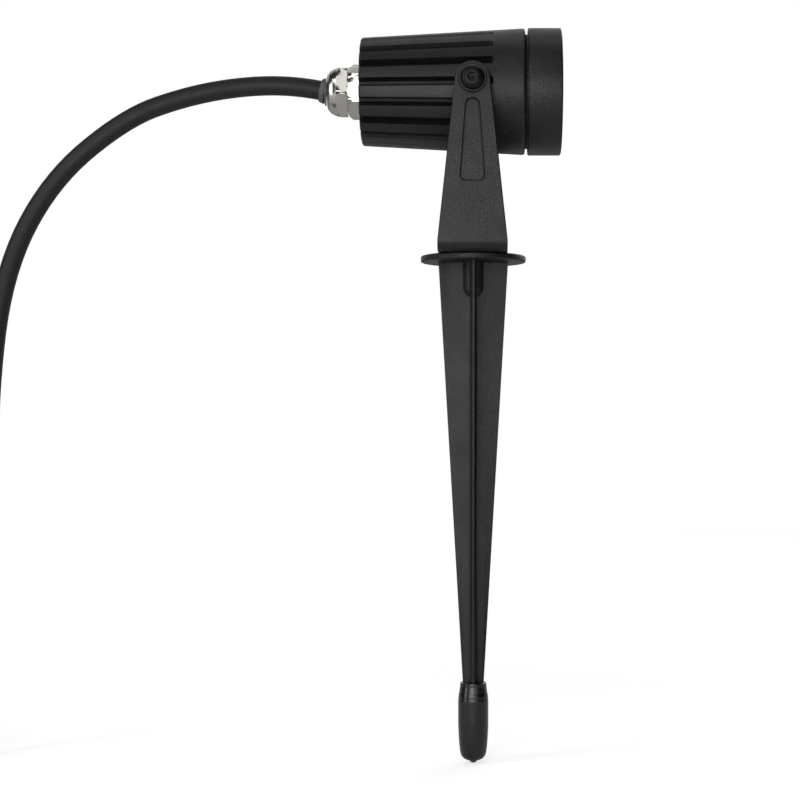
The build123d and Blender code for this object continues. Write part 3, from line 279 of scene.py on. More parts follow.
def nickel_plate():
    """Bright nickel on turned brass: warm mirror with faint turning lines round the lamp's axis."""
    made, tree, bsdf, where = finish_of("nickel_plated_brass", "#c9c7c2", metallic=1.0)
    lines = node(
        tree,
        "ShaderNodeTexWave",
        {"Vector": where, "Scale": per_mm(0.9), "Distortion": 0.6, "Detail": 2.0},
        wave_type="BANDS",
        bands_direction="X",
    ).outputs["Fac"]
    smear = node(
        tree,
        "ShaderNodeTexNoise",
        {"Vector": where, "Scale": per_mm(3.5), "Detail": 3.0, "Roughness": 0.6},
    ).outputs["Fac"]
    rough = node(
        tree,
        "ShaderNodeMapRange",
        {"Value": smear, "From Min": 0.3, "From Max": 0.75, "To Min": 0.12, "To Max": 0.22},
    )
    turning = node(tree, "ShaderNodeBump", {"Height": lines, "Strength": 0.35, "Distance": 0.004 * MM})
    tree.links.new(rough.outputs["Result"], bsdf.inputs["Roughness"])
    tree.links.new(turning.outputs["Normal"], bsdf.inputs["Normal"])
    return made


def rubber(name, base, dark, light, haze_mm, grain_mm, rough_low, rough_high):
    """Rubber and soft plastic: dull, with a haze of talc or handling over a fine grain."""
    made, tree, bsdf, where = finish_of(name, base)
    # the grain is some 0.1 mm in the real ones; drawn at grain_mm so that it shows in the render
    haze = node(
        tree,
        "ShaderNodeTexNoise",
        {"Vector": where, "Scale": per_mm(haze_mm), "Detail": 4.0, "Roughness": 0.6},
    ).outputs["Fac"]
    grain = node(
        tree,
        "ShaderNodeTexNoise",
        {"Vector": where, "Scale": per_mm(grain_mm), "Detail": 2.0, "Roughness": 0.6},
    ).outputs["Fac"]
    share = node(tree, "ShaderNodeMapRange", {"Value": haze, "From Min": 0.3, "From Max": 0.7})
    tone = node(
        tree,
        "ShaderNodeMix",
        {"Factor": share.outputs["Result"], "A": linear(dark), "B": linear(light)},
        data_type="RGBA",
    )
    rough = node(
        tree,
        "ShaderNodeMapRange",
        {"Value": haze, "From Min": 0.3, "From Max": 0.7, "To Min": rough_low, "To Max": rough_high},
    )
    grains = node(tree, "ShaderNodeBump", {"Height": grain, "Strength": 0.6, "Distance": 0.03 * MM})
    tree.links.new(tone.outputs["Result"], bsdf.inputs["Base Color"])
    tree.links.new(rough.outputs["Result"], bsdf.inputs["Roughness"])
    tree.links.new(grains.outputs["Normal"], bsdf.inputs["Normal"])
    return made


def cord_rubber():
    """Extruded neoprene sheath: dull black with talc haze and shallow extrusion marks."""
    return rubber("rubber_sheath", "#1a1a1b", "#0f0f10", "#191919", 6.0, 0.8, 0.5, 0.62)


def moulded_rubber(name, dark, light, rough):
    """Moulded rubber or soft plastic: even, slightly greyed by handling."""
    return rubber(name, dark, dark, light, 4.0, 0.7, rough - 0.05, rough + 0.07)


def blackened_steel():
    """Black oxide on machined steel: oily and nearly black, with lighter patches."""
    made, tree, bsdf, where = finish_of("black_oxide_steel", "#101011", metallic=0.6)
    patches = node(
        tree,
        "ShaderNodeTexNoise",
        {"Vector": where, "Scale": per_mm(1.2), "Detail": 4.0, "Roughness": 0.6},
    ).outputs["Fac"]
    tone = node(
        tree,
        "ShaderNodeMix",
        {"Factor": patches, "A": linear("#0b0b0c"), "B": linear("#1d1d1e")},
        data_type="RGBA",
    )
    rough = node(
        tree,
        "ShaderNodeMapRange",
        {"Value": patches, "From Min": 0.3, "From Max": 0.7, "To Min": 0.3, "To Max": 0.45},
    )
    crust = node(tree, "ShaderNodeBump", {"Height": patches, "Strength": 0.5, "Distance": 0.02 * MM})
    tree.links.new(tone.outputs["Result"], bsdf.inputs["Base Color"])
    tree.links.new(rough.outputs["Result"], bsdf.inputs["Roughness"])
    tree.links.new(crust.outputs["Normal"], bsdf.inputs["Normal"])
    return made


def bright_metal(name, colour, stretch, grain_mm, detail, rough_low, rough_high, depth_mm):
    """Bright metal whose grain, drawn out by stretch, gives its roughness and a shallow relief."""
    made, tree, bsdf, where = finish_of(name, colour, metallic=1.0)
    drawn = node(tree, "ShaderNodeMapping", {"Vector": where, "Scale": stretch}).outputs["Vector"]
    marks = node(
        tree,
        "ShaderNodeTexNoise",
        {"Vector": drawn, "Scale": per_mm(grain_mm), "Detail": detail, "Roughness": 0.6},
    ).outputs["Fac"]
    rough = node(
        tree,
        "ShaderNodeMapRange",
        {"Value": marks, "From Min": 0.3, "From Max": 0.7, "To Min": rough_low, "To Max": rough_high},
    )
    relief = node(tree, "ShaderNodeBump", {"Height": marks, "Strength": 0.4, "Distance": depth_mm * MM})
    tree.links.new(rough.outputs["Result"], bsdf.inputs["Roughness"])
    tree.links.new(relief.outputs["Normal"], bsdf.inputs["Normal"])
    return made


def bare_metal(name, colour, rough):
    """Bright plated or machined metal with fine brush marks."""
    return bright_metal(name, colour, (1.0, 0.08, 1.0), 0.6, 3.0, rough * 0.8, rough * 1.25, 0.004)


def mirror_coat():
    """Vapour-coated reflector: mirror with a faint orange-peel."""
    return bright_metal("reflector_mirror", "#e6e7e9", (1.0, 1.0, 1.0), 2.5, 1.0, 0.06, 0.12, 0.02)


def clear_glass():
    """Toughened float glass: clear, with a trace of green and a very slight ripple."""
    made, tree, bsdf, where = finish_of(
        "toughened_glass", "#f2f8f6", transmission_weight=1.0, roughness=0.02, ior=1.5
    )
    waves = node(
        tree,
        "ShaderNodeTexNoise",
        {"Vector": where, "Scale": per_mm(20.0), "Detail": 1.0, "Roughness": 0.6},
    ).outputs["Fac"]
    ripple = node(tree, "ShaderNodeBump", {"Height": waves, "Strength": 0.3, "Distance": 0.01 * MM})
    tree.links.new(ripple.outputs["Normal"], bsdf.inputs["Normal"])
    return made


def plain_board(name, dark, light, rough):
    """Laminates, ceramics and gels inside the lamp: a mottled two-tone colour."""
    made, tree, bsdf, where = finish_of(name, dark)
    mottle = node(
        tree,
        "ShaderNodeTexNoise",
        {"Vector": where, "Scale": per_mm(1.5), "Detail": 3.0, "Roughness": 0.6},
    ).outputs["Fac"]
    tone = node(
        tree,
        "ShaderNodeMix",
        {"Factor": mottle, "A": linear(dark), "B": linear(light)},
        data_type="RGBA",
    )
    sheen = node(
        tree,
        "ShaderNodeMapRange",
        {"Value": mottle, "From Min": 0.2, "From Max": 0.8, "To Min": rough * 0.85, "To Max": rough * 1.15},
    )
    tree.links.new(tone.outputs["Result"], bsdf.inputs["Base Color"])
    tree.links.new(sheen.outputs["Result"], bsdf.inputs["Roughness"])
    return made


FINISHES = {}


def finish(key):
    """The material for a kind of finish, made when it is first asked for."""
    makers = {
        "powder": powder_coat,
        "spike": spike_plastic,
        "vinyl": dipped_vinyl,
        "nickel": nickel_plate,
        "lead": cord_rubber,
        "seal": lambda: moulded_rubber("seal_rubber", "#4b4c4d", "#5b5c5d", 0.5),
        "gasket": lambda: moulded_rubber("silicone_gasket", "#161617", "#1f1f20", 0.55),
        "plug": lambda: moulded_rubber("plug_rubber", "#222223", "#2d2d2e", 0.5),
        "strap": lambda: moulded_rubber("strap_fabric", "#1b1b1c", "#2c2c2d", 0.8),
        "nylon": lambda: moulded_rubber("washer_nylon", "#161617", "#202021", 0.45),
        "screw": blackened_steel,
        "zinc": lambda: bare_metal("zinc_plated_steel", "#b9bcc0", 0.3),
        "brass": lambda: bare_metal("turned_brass", "#c2a35c", 0.28),
        "aluminium": lambda: bare_metal("machined_aluminium", "#c4c7ca", 0.35),
        "mirror": mirror_coat,
        "glass": clear_glass,
        "ceramic": lambda: plain_board("emitter_ceramic", "#e9e8e2", "#f3f2ec", 0.4),
        "phosphor": lambda: plain_board("phosphor_gel", "#dcb23a", "#efcf62", 0.35),
        "white_plastic": lambda: plain_board("driver_plastic", "#d4d4ce", "#e2e2dc", 0.45),
        "laminate": lambda: plain_board("circuit_laminate", "#28603d", "#347249", 0.45),
        "can": lambda: plain_board("capacitor_sleeve", "#1b2738", "#26354a", 0.4),
        "wire": lambda: plain_board("wire_insulation", "#7c5f35", "#8c6d40", 0.5),
        "thermal": lambda: plain_board("thermal_silicone", "#868a8f", "#969aa0", 0.7),
    }
    if key not in FINISHES:
        FINISHES[key] = makers[key]()
    return FINISHES[key]


# ------------------------------------------------------------------ mesh helpers
def as_piece(name, mesh, body, material, nodes):
    """Object at the origin for a finished mesh, standing for its nodes, and riding on a body if given."""
    made = bpy.data.objects.new(name, mesh)
    bpy.context.scene.collection.objects.link(made)
    mesh.materials.clear()
    mesh.materials.append(finish(material))
    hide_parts(*nodes)
    if body:
        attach(made, body)
    return made


def smooth_mesh(name, bm, place, sharp_deg=32.0):
    """Mesh from a bmesh in millimetres, put in its place, smooth but for its sharp edges."""
    bmesh.ops.remove_doubles(bm, verts=bm.verts, dist=0.0005)
    bmesh.ops.recalc_face_normals(bm, faces=bm.faces)
    bmesh.ops.transform(bm, matrix=place @ Matrix.Scale(MM, 4), verts=bm.verts)
    mesh = bpy.data.meshes.new(name)
    bm.to_mesh(mesh)
    bm.free()
    mesh.polygons.foreach_set("use_smooth", [True] * len(mesh.polygons))
    mesh.set_sharp_from_angle(angle=math.radians(sharp_deg))
    return mesh


def rounded(corners, steps=5):
    """Outline of (along, radius, round) corners, with each corner turned into a short arc."""
    found = []
    count = len(corners)
    for i, (x, r, size) in enumerate(corners):
        here = Vector((x, r))
        to_last = Vector(corners[i - 1][:2]) - here
        to_next = Vector(corners[(i + 1) % count][:2]) - here
        if size <= 0:
            found.append(tuple(here))
            continue
        half = to_last.angle(to_next) / 2
        reach = min(size / math.tan(half), to_last.length * 0.49, to_next.length * 0.49)
        radius = reach * math.tan(half)
        middle = here + (to_last.normalized() + to_next.normalized()).normalized() * (radius / math.sin(half))
        first, last = here + to_last.normalized() * reach, here + to_next.normalized() * reach
        for k in range(steps + 1):
            mix = first.lerp(last, k / steps) - middle
            found.append(tuple(middle + mix.normalized() * radius))
    return found


def turned(outline, segments, limit=None):
    """Closed outline of (along, radius) turned round its own Z, each radius cut to limit(angle)."""
    bm = bmesh.new()
    rings = []
    for x, r in outline:
        ring = []
        for k in range(segments):
            angle = 2 * math.pi * k / segments
            reach = min(r, limit(angle)) if limit and r > 0 else r
            ring.append(bm.verts.new((reach * math.cos(angle), reach * math.sin(angle), x)))
        rings.append(ring)
    for i, ring in enumerate(rings):
        after = rings[(i + 1) % len(rings)]
        for k in range(segments):
            j = (k + 1) % segments
            if outline[i][1] <= 0 and outline[(i + 1) % len(outline)][1] <= 0:
                continue
            bm.faces.new((ring[k], ring[j], after[j], after[k]))
    bmesh.ops.remove_doubles(bm, verts=bm.verts, dist=0.0005)
    bmesh.ops.dissolve_degenerate(bm, edges=bm.edges, dist=0.0002)
    return bm


def softened(cad_node, edge_mm=0.0):
    """Copy of a CAD node's mesh with its flat faces joined, its edges rounded and its normals weighed."""
    sharp = math.radians(35)
    bm = bmesh.new()
    bm.from_mesh(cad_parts[cad_node].data)
    bmesh.ops.remove_doubles(bm, verts=bm.verts, dist=2e-6)
    bmesh.ops.dissolve_limit(
        bm, angle_limit=math.radians(0.5), verts=bm.verts, edges=bm.edges, delimit={"NORMAL"}
    )
    mesh = bpy.data.meshes.new(cad_node + "_soft")
    bm.to_mesh(mesh)
    bm.free()
    mesh.polygons.foreach_set("use_smooth", [True] * len(mesh.polygons))
    mesh.set_sharp_from_angle(angle=sharp)
    holder = bpy.data.objects.new(cad_node + "_holder", mesh)
    bpy.context.scene.collection.objects.link(holder)
    if edge_mm:
        bevel = holder.modifiers.new("edges", "BEVEL")
        bevel.width = edge_mm * MM
        bevel.segments = 2
        bevel.limit_method = "ANGLE"
        bevel.angle_limit = sharp
        bevel.use_clamp_overlap = True
    weigh = holder.modifiers.new("flat faces", "WEIGHTED_NORMAL")
    weigh.weight = 100
    weigh.keep_sharp = True
    made = bpy.data.meshes.new_from_object(holder.evaluated_get(bpy.context.evaluated_depsgraph_get()))
    bpy.data.objects.remove(holder)
    return made


def joined(name, meshes, sharp_deg):
    """One closed mesh from several, doubles merged and faces turned outwards."""
    bm = bmesh.new()
    for mesh in meshes:
        bm.from_mesh(mesh)
    bmesh.ops.remove_doubles(bm, verts=bm.verts, dist=1e-6)
    bmesh.ops.recalc_face_normals(bm, faces=bm.faces)
    mesh = bpy.data.meshes.new(name)
    bm.to_mesh(mesh)
    bm.free()
    mesh.polygons.foreach_set("use_smooth", [True] * len(mesh.polygons))
    mesh.set_sharp_from_angle(angle=math.radians(sharp_deg))
    return mesh


def repeat_tree():
    """Geometry Nodes that repeat a mesh round an axis through a pivot, then make it real."""
    if "repeat_round_axis" in bpy.data.node_groups:
        return bpy.data.node_groups["repeat_round_axis"]
    tree = bpy.data.node_groups.new("repeat_round_axis", "GeometryNodeTree")
    sockets = (
        ("Geometry", "NodeSocketGeometry"),
        ("Count", "NodeSocketInt"),
        ("Turn", "NodeSocketFloat"),
        ("Pivot", "NodeSocketVector"),
        ("Axis", "NodeSocketVector"),
        ("Merge Distance", "NodeSocketFloat"),
        ("Material", "NodeSocketMaterial"),
    )
    for name, kind in sockets:
        tree.interface.new_socket(name, in_out="INPUT", socket_type=kind)
    tree.interface.new_socket("Geometry", in_out="OUTPUT", socket_type="NodeSocketGeometry")
    given = node(tree, "NodeGroupInput").outputs
    back = node(tree, "ShaderNodeVectorMath", {0: given["Pivot"], "Scale": -1.0}, operation="SCALE")
    centred = node(
        tree,
        "GeometryNodeTransform",
        {"Geometry": given["Geometry"], "Translation": back.outputs["Vector"]},
    )
    points = node(tree, "GeometryNodePoints", {"Count": given["Count"], "Position": given["Pivot"]})
    index = node(tree, "GeometryNodeInputIndex").outputs[0]
    angle = node(tree, "ShaderNodeMath", {0: index, 1: given["Turn"]}, operation="MULTIPLY").outputs[0]
    turn = node(tree, "FunctionNodeAxisAngleToRotation", {"Axis": given["Axis"], "Angle": angle})
    placed = node(
        tree,
        "GeometryNodeInstanceOnPoints",
        {"Points": points.outputs[0], "Instance": centred.outputs[0], "Rotation": turn.outputs[0]},
    )
    real = node(tree, "GeometryNodeRealizeInstances", {"Geometry": placed.outputs[0]})
    merged = node(
        tree,
        "GeometryNodeMergeByDistance",
        {"Geometry": real.outputs[0], "Distance": given["Merge Distance"]},
    )
    painted = node(
        tree, "GeometryNodeSetMaterial", {"Geometry": merged.outputs[0], "Material": given["Material"]}
    )
    node(tree, "NodeGroupOutput", {"Geometry": painted.outputs[0]})
    return tree


def repeated(name, mesh, count, axis, material, merge=1e-6):
    """Plain mesh of that mesh repeated round an axis through the lamp's middle by Geometry Nodes."""
    tree = repeat_tree()
    source = bpy.data.objects.new(name + "_one", mesh)
    bpy.context.scene.collection.objects.link(source)
    modifier = source.modifiers.new("repeat", "NODES")
    modifier.node_group = tree
    values = {
        "Count": count,
        "Turn": 2 * math.pi / count,
        "Pivot": (0, 0, AXIS_Z * MM),
        "Axis": axis,
        "Merge Distance": merge,
        "Material": finish(material),
    }
    for item in tree.interface.items_tree:
        if item.in_out == "INPUT" and item.name in values:
            modifier[item.identifier] = values[item.name]
    made = bpy.data.meshes.new_from_object(
        source.evaluated_get(bpy.context.evaluated_depsgraph_get())
    )
    made.name = name
    bpy.data.objects.remove(source)
    return made


def dress(cad_node, material):
    """A CAD node whose shape is right keeps its mesh and gets its real finish."""
    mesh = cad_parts[cad_node].data
    mesh.materials.clear()
    mesh.materials.append(finish(material))


def hexagon(angle, turned_by=0.0):
    """Reach of a hexagon of half width 1 in that direction."""
    off = (math.degrees(angle) - turned_by) % 60 - 30
    return 1 / math.cos(math.radians(off))


def eased(share):
    """Share from 0 to 1 with a soft start and end."""
    share = min(max(share, 0), 1)
    return share * share * (3 - 2 * share)


# ------------------------------------------------------------------ settings in the sidebar
class HeadSettings(bpy.types.PropertyGroup):
    """Sizes of the lamp head that show."""

    groove_count: IntProperty(name="Grooves", description="Cooling grooves round the head", default=18, min=6)
    groove_depth: FloatProperty(
        name="Groove depth",
        description="Depth of a cooling groove at its floor",
        default=GROOVE_DEPTH * MM,
        unit="LENGTH",
    )
    edge_round: FloatProperty(
        name="Casting edge",
        description="Radius on the edges of the casting",
        default=1.0 * MM,
        unit="LENGTH",
    )


class LeadSettings(bpy.types.PropertyGroup):
    """Sizes of the supply lead."""

    diameter: FloatProperty(
        name="Lead diameter", description="Outside of the rubber sheath", default=LEAD_D * MM, unit="LENGTH"
    )
    length: FloatProperty(
        name="Lead length", description="Free length from gland to plug", default=1.15, unit="LENGTH"
    )
    coil_points: IntProperty(
        name="Points in a turn", description="Points in each turn of the coil", default=16
    )


class StageSettings(bpy.types.PropertyGroup):
    """Floor and lights."""

    floor_colour: FloatVectorProperty(
        name="Floor",
        description="Colour of the floor and backdrop",
        subtype="COLOR",
        size=4,
        default=linear("#f4f4f4"),
    )
    key_power: FloatProperty(
        name="Key", description="Softbox in front, a little to the left", default=3.9, unit="POWER"
    )
    high_power: FloatProperty(
        name="High", description="Softbox in front and above", default=1.3, unit="POWER"
    )
    side_power: FloatProperty(
        name="Side", description="Strip at the left, seen in the gland", default=3.4, unit="POWER"
    )
    top_power: FloatProperty(name="Top", description="Softbox overhead", default=1.0, unit="POWER")
    low_power: FloatProperty(name="Low", description="Bounce from below", default=0.9, unit="POWER")
    back_power: FloatProperty(name="Back", description="Strip behind", default=1.5, unit="POWER")


# ------------------------------------------------------------------ supply lead
def lead_route():
    """Control points of the whole lead in metres: exit, fall, landing, coil and tail."""
    bend = math.radians(GLAND_BEND_DEG)
    leaves = Vector((SEAL_TIP_X, 0, AXIS_Z + GLAND_BEND_R * (1 - math.cos(bend))))
    points = [leaves, leaves + Vector((-math.cos(bend), 0, math.sin(bend))) * FIRST_RUN]
    points += [Vector(p) for p in LEAD_ROUTE]
    points += [Vector(p) for p in LANDING]
    last_turn = COIL_IN + COIL_CLIMB + COIL_OUT
    step = 1 / bpy.context.scene.spotlight_lead.coil_points
    turns = 0.0
    while turns < last_turn - step * 0.4:
        points.append(coil_point(turns, swell=1 / math.cos(math.pi * step)))
        turns += step
    points.append(coil_point(last_turn))
    points += [Vector(p) for p in TAIL]
    return [p * MM for p in points]


def coil_point(turns, swell=1.0):
    """Middle of the lead after that many turns: inwards below, then outwards on top."""
    middle = COIL_IN + COIL_CLIMB / 2
    inwards = min(turns, middle)
    radius = (COIL_OUTER_R - COIL_PITCH * (2 * inwards - turns)) * swell
    angle = math.radians(COIL_START_DEG - 360 * turns)
    x, y = COIL_CENTRE
    low = FLOOR_Z / MM + TIE_LIFT + LEAD_D / 2
    rise = COIL_LAYER * eased((turns - COIL_IN) / COIL_CLIMB)
    return Vector((x + radius * math.cos(angle), y + radius * math.sin(angle), low + rise))


class SPOTLIGHT_OT_lead(bpy.types.Operator):
    """Lead: one smooth line from the gland to the plug, its spare length coiled and tied"""

    bl_idname = "spotlight.lead"
    bl_label = "Supply lead"

    def execute(self, context):
        sizes = context.scene.spotlight_lead
        points = lead_route()
        curve = bpy.data.curves.new("supply_lead", "CURVE")
        curve.dimensions = "3D"
        curve.resolution_u = 8
        spline = curve.splines.new("NURBS")
        spline.points.add(len(points) - 1)
        for made, point in zip(spline.points, points):
            made.co = (*point, 1.0)
        spline.order_u = 3
        spline.use_endpoint_u = True
        holder = bpy.data.objects.new("lead_line", curve)
        context.scene.collection.objects.link(holder)
        context.view_layer.update()
        line = bpy.data.meshes.new_from_object(holder)
        curve.bevel_depth = sizes.diameter / 2
        curve.bevel_resolution = 6
        curve.use_fill_caps = True
        context.view_layer.update()
        tube = bpy.data.meshes.new_from_object(holder)
        bpy.data.objects.remove(holder)
        tube.polygons.foreach_set("use_smooth", [True] * len(tube.polygons))
        tube.set_sharp_from_angle(angle=math.radians(50))
        lead = as_piece(
            "supply_lead",
            tube,
            None,
            "lead",
            ("power_cord", "cord_coil", "cord_tail"),
        )
        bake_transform(lead)
        return {"FINISHED"}


class SPOTLIGHT_OT_plug(bpy.types.Operator):
    """Plug and tie: the lead's far end and the strap round its coil"""

    bl_idname = "spotlight.plug"
    bl_label = "Plug and tie"

    def execute(self, context):
        dress("plug_body", "plug")
        dress("plug_pins", "nickel")
        dress("plug_earth_clips", "nickel")
        dress("coil_tie", "strap")
        return {"FINISHED"}


# ------------------------------------------------------------------ lamp head
def body_r(x):
    """Radius of the housing's cone at x."""
    return BODY_REAR_R + (BODY_FRONT_R - BODY_REAR_R) * (x - BODY_REAR_X) / (BODY_FRONT_X - BODY_REAR_X)


def groove_at(across, x, depth):
    """Depth of the groove: sloped walls under a small steep step, its front end rounded."""
    side = abs(across) - (GROOVE_TOP_W / 2 - GROOVE_ROUND)
    ahead = x - (GROOVE_END_X - GROOVE_ROUND)
    inside = GROOVE_ROUND - math.hypot(max(side, 0), max(ahead, 0)) - min(max(side, ahead), 0)
    step, step_depth = 0.1, 0.4  # the steep step's width and depth
    if inside <= 0:
        return 0.0
    if inside < step:
        return step_depth * inside / step
    run = (GROOVE_TOP_W - GROOVE_FLOOR_W) / 2
    return step_depth + (depth - step_depth) * min((inside - step) / (run - step), 1)


def housing_sector(count, depth, edge):
    """One groove with half a land at each side, all the way round the wall of the casting."""
    half_turn = math.pi / count
    # points from the groove's middle to just past its edge, in mm, then shares of the way to the next groove
    half_groove = (0.0, 0.25, 0.5, 0.6, 0.68, 0.85, 1.05, 1.25, 1.45, 1.6, 1.64, 1.7, 1.8)
    shares = (0.25, 0.6, 1.0)
    quarter = [math.radians(a) for a in (0, 18, 36, 54, 72, 90)]
    # rings from the rear to the front: where each stands, and how far it is cut in by the edge's round
    rings = [(BODY_REAR_X + edge * (1 - math.sin(a)), edge * (1 - math.cos(a))) for a in reversed(quarter)]
    stations = [-40, -34, -28, -22, -16, -10, -5, -1, 2, 4, 5.2, 6.0, 6.4, 6.7]
    stations += [GROOVE_END_X - GROOVE_ROUND * (1 - k / 12) for k in range(1, 13)]
    stations += [8.2, 9.5, 12, 16, BODY_FRONT_X - edge - 0.2]
    rings += [(x, 0.0) for x in stations]
    rings += [(BODY_FRONT_X - edge * (1 - math.sin(a)), edge * (1 - math.cos(a))) for a in quarter[1:]]
    bm = bmesh.new()
    loops = []

    def add_ring(x, reach, cut_in):
        """Points of the sector at x: a plain ring of radius reach, or the grooved skin less cut_in."""
        ring = []
        radius = reach or body_r(x)
        for side in (-1, 1):
            offs = half_groove[::-1] if side < 0 else half_groove[1:]
            spots = [side * u for u in offs]
            edge_angle = math.asin(half_groove[-1] / body_r(x))
            angles = [edge_angle + (half_turn - edge_angle) * s for s in shares]
            if side < 0:
                ring += [(-a, None) for a in reversed(angles)]
            ring += [(None, u) for u in spots]
            if side > 0:
                ring += [(a, None) for a in angles]
        made = []
        for angle, u in ring:
            if angle is None and reach:
                angle = math.asin(u / body_r(x))
            if angle is None:
                skin = math.sqrt((radius - cut_in) ** 2 - u * u)
                deep = math.sqrt(radius**2 - u * u) - groove_at(u, x, depth)
                made.append(bm.verts.new((min(skin, deep), u, x)))
            else:
                r = radius - cut_in
                made.append(bm.verts.new((r * math.cos(angle), r * math.sin(angle), x)))
        loops.append(made)

    for x, cut_in in rings:
        add_ring(x, None, cut_in)
    inner = [
        (BODY_FRONT_X, NECK_R),
        (NECK_END_X - 0.3, NECK_R),
        (NECK_END_X, NECK_R - 0.3),
        (NECK_END_X, OPTIC_R + 0.2),
        (NECK_END_X - 0.2, OPTIC_R),
        (SHOULDER_X, OPTIC_R),
        (SHOULDER_X, CHAMBER_R),
        (REAR_WALL_X, CHAMBER_R),
        (REAR_WALL_X, GLAND_HOLE_R),
        (BODY_REAR_X, GLAND_HOLE_R),
        (BODY_REAR_X, GLAND_HOLE_R + 4),
        (BODY_REAR_X, BODY_REAR_R - depth - 0.6),
    ]
    for x, r in inner:
        add_ring(x, r, 0.0)
    for i, ring in enumerate(loops):
        after = loops[(i + 1) % len(loops)]
        for k in range(len(ring) - 1):
            bm.faces.new((ring[k], ring[k + 1], after[k + 1], after[k]))
    # the first groove faces the side, where the yoke's arm is
    return smooth_mesh("housing_sector", bm, LAMP @ Matrix.Rotation(math.pi / 2, 4, "Z"), 25)


class SPOTLIGHT_OT_housing(bpy.types.Operator):
    """Housing: grooved die-cast body with its pivot pads"""

    bl_idname = "spotlight.housing"
    bl_label = "Finned housing"

    def execute(self, context):
        head = context.scene.spotlight_head
        sector = housing_sector(head.groove_count, head.groove_depth / MM, head.edge_round / MM)
        body = repeated("housing_wall", sector, head.groove_count, (1, 0, 0), "powder", merge=4e-6)
        outline = [
            (PIVOT_PAD_IN, 0, 0),
            (PIVOT_PAD_IN, PIVOT_PAD_R, 0),
            (PIVOT_PAD_OUT, PIVOT_PAD_R, 0.4),
            (PIVOT_PAD_OUT, 0, 0),
        ]
        pad = smooth_mesh("pad", turned(rounded(outline), 96), PIVOT)
        pads = repeated("pivot_pads", pad, 2, (0, 0, 1), "powder")
        as_piece(
            "finned_housing",
            joined("finned_housing", [body, pads], 28),
            "head",
            "powder",
            ("heat_sink_body",),
        )
        return {"FINISHED"}


class SPOTLIGHT_OT_front(bpy.types.Operator):
    """Front: bezel ring, glass, gasket, reflector and light source"""

    bl_idname = "spotlight.front"
    bl_label = "Bezel, glass and light source"

    def execute(self, context):
        ring = rounded(
            [
                (BEZEL_BACK_X, BEZEL_BORE_R, 0.3),
                (BEZEL_BACK_X, BEZEL_R, 0.5),
                (BEZEL_FRONT_X, BEZEL_R, 0.8),
                (BEZEL_FRONT_X, WINDOW_R + WINDOW_BEVEL, 0.25),
                (BEZEL_FRONT_X - WINDOW_BEVEL, WINDOW_R, 0.25),
                (GLASS_FRONT_X, WINDOW_R, 0.15),
                (GLASS_FRONT_X, BEZEL_BORE_R, 0),
            ]
        )
        as_piece(
            "bezel_ring",
            smooth_mesh("bezel_ring", turned(ring, 192), LAMP),
            "head",
            "powder",
            ("front_bezel",),
        )
        pane = rounded(
            [
                (GLASS_BACK_X, 0, 0),
                (GLASS_BACK_X, GLASS_R, 0.3),
                (GLASS_FRONT_X, GLASS_R, 0.3),
                (GLASS_FRONT_X, 0, 0),
            ]
        )
        as_piece(
            "glass_pane",
            smooth_mesh("glass_pane", turned(pane, 128), LAMP),
            "head",
            "glass",
            ("front_glass",),
        )
        bowl, steps = [], 24
        for k in range(steps + 1):
            r = BOWL_HOLE_R + (BOWL_MOUTH_R - BOWL_HOLE_R) * k / steps
            deep = (r**2 - BOWL_HOLE_R**2) / (BOWL_MOUTH_R**2 - BOWL_HOLE_R**2)
            bowl.append((BOWL_X + BOWL_DEEP * deep, r))
        outer = [(x, r + BOWL_WALL) for x, r in bowl if r < BOWL_MOUTH_R - 0.5]
        flange = [(27.9, 18.5), (28.0, 19.6), (27.1, 19.7), (27.0, 18.95)]
        shell = bowl + flange + outer[::-1]
        as_piece(
            "mirror_bowl",
            smooth_mesh("mirror_bowl", turned(shell, 144), LAMP),
            "head",
            "mirror",
            ("reflector",),
        )
        for cad_node, material in (
            ("glass_gasket", "gasket"),
            ("bezel_o_ring", "gasket"),
            ("led_emitter", "ceramic"),
            ("led_phosphor", "phosphor"),
            ("led_board", "aluminium"),
            ("led_carrier", "aluminium"),
            ("thermal_pad", "thermal"),
            ("board_screws", "zinc"),
            ("carrier_screws", "zinc"),
            ("earth_screw", "zinc"),
            ("driver_sleeve", "white_plastic"),
            ("driver_transformer", "white_plastic"),
            ("terminal_block", "white_plastic"),
            ("driver_board", "laminate"),
            ("driver_capacitor", "can"),
            ("supply_leads", "wire"),
            ("led_leads", "wire"),
            ("earth_lead", "wire"),
        ):
            dress(cad_node, material)
        return {"FINISHED"}


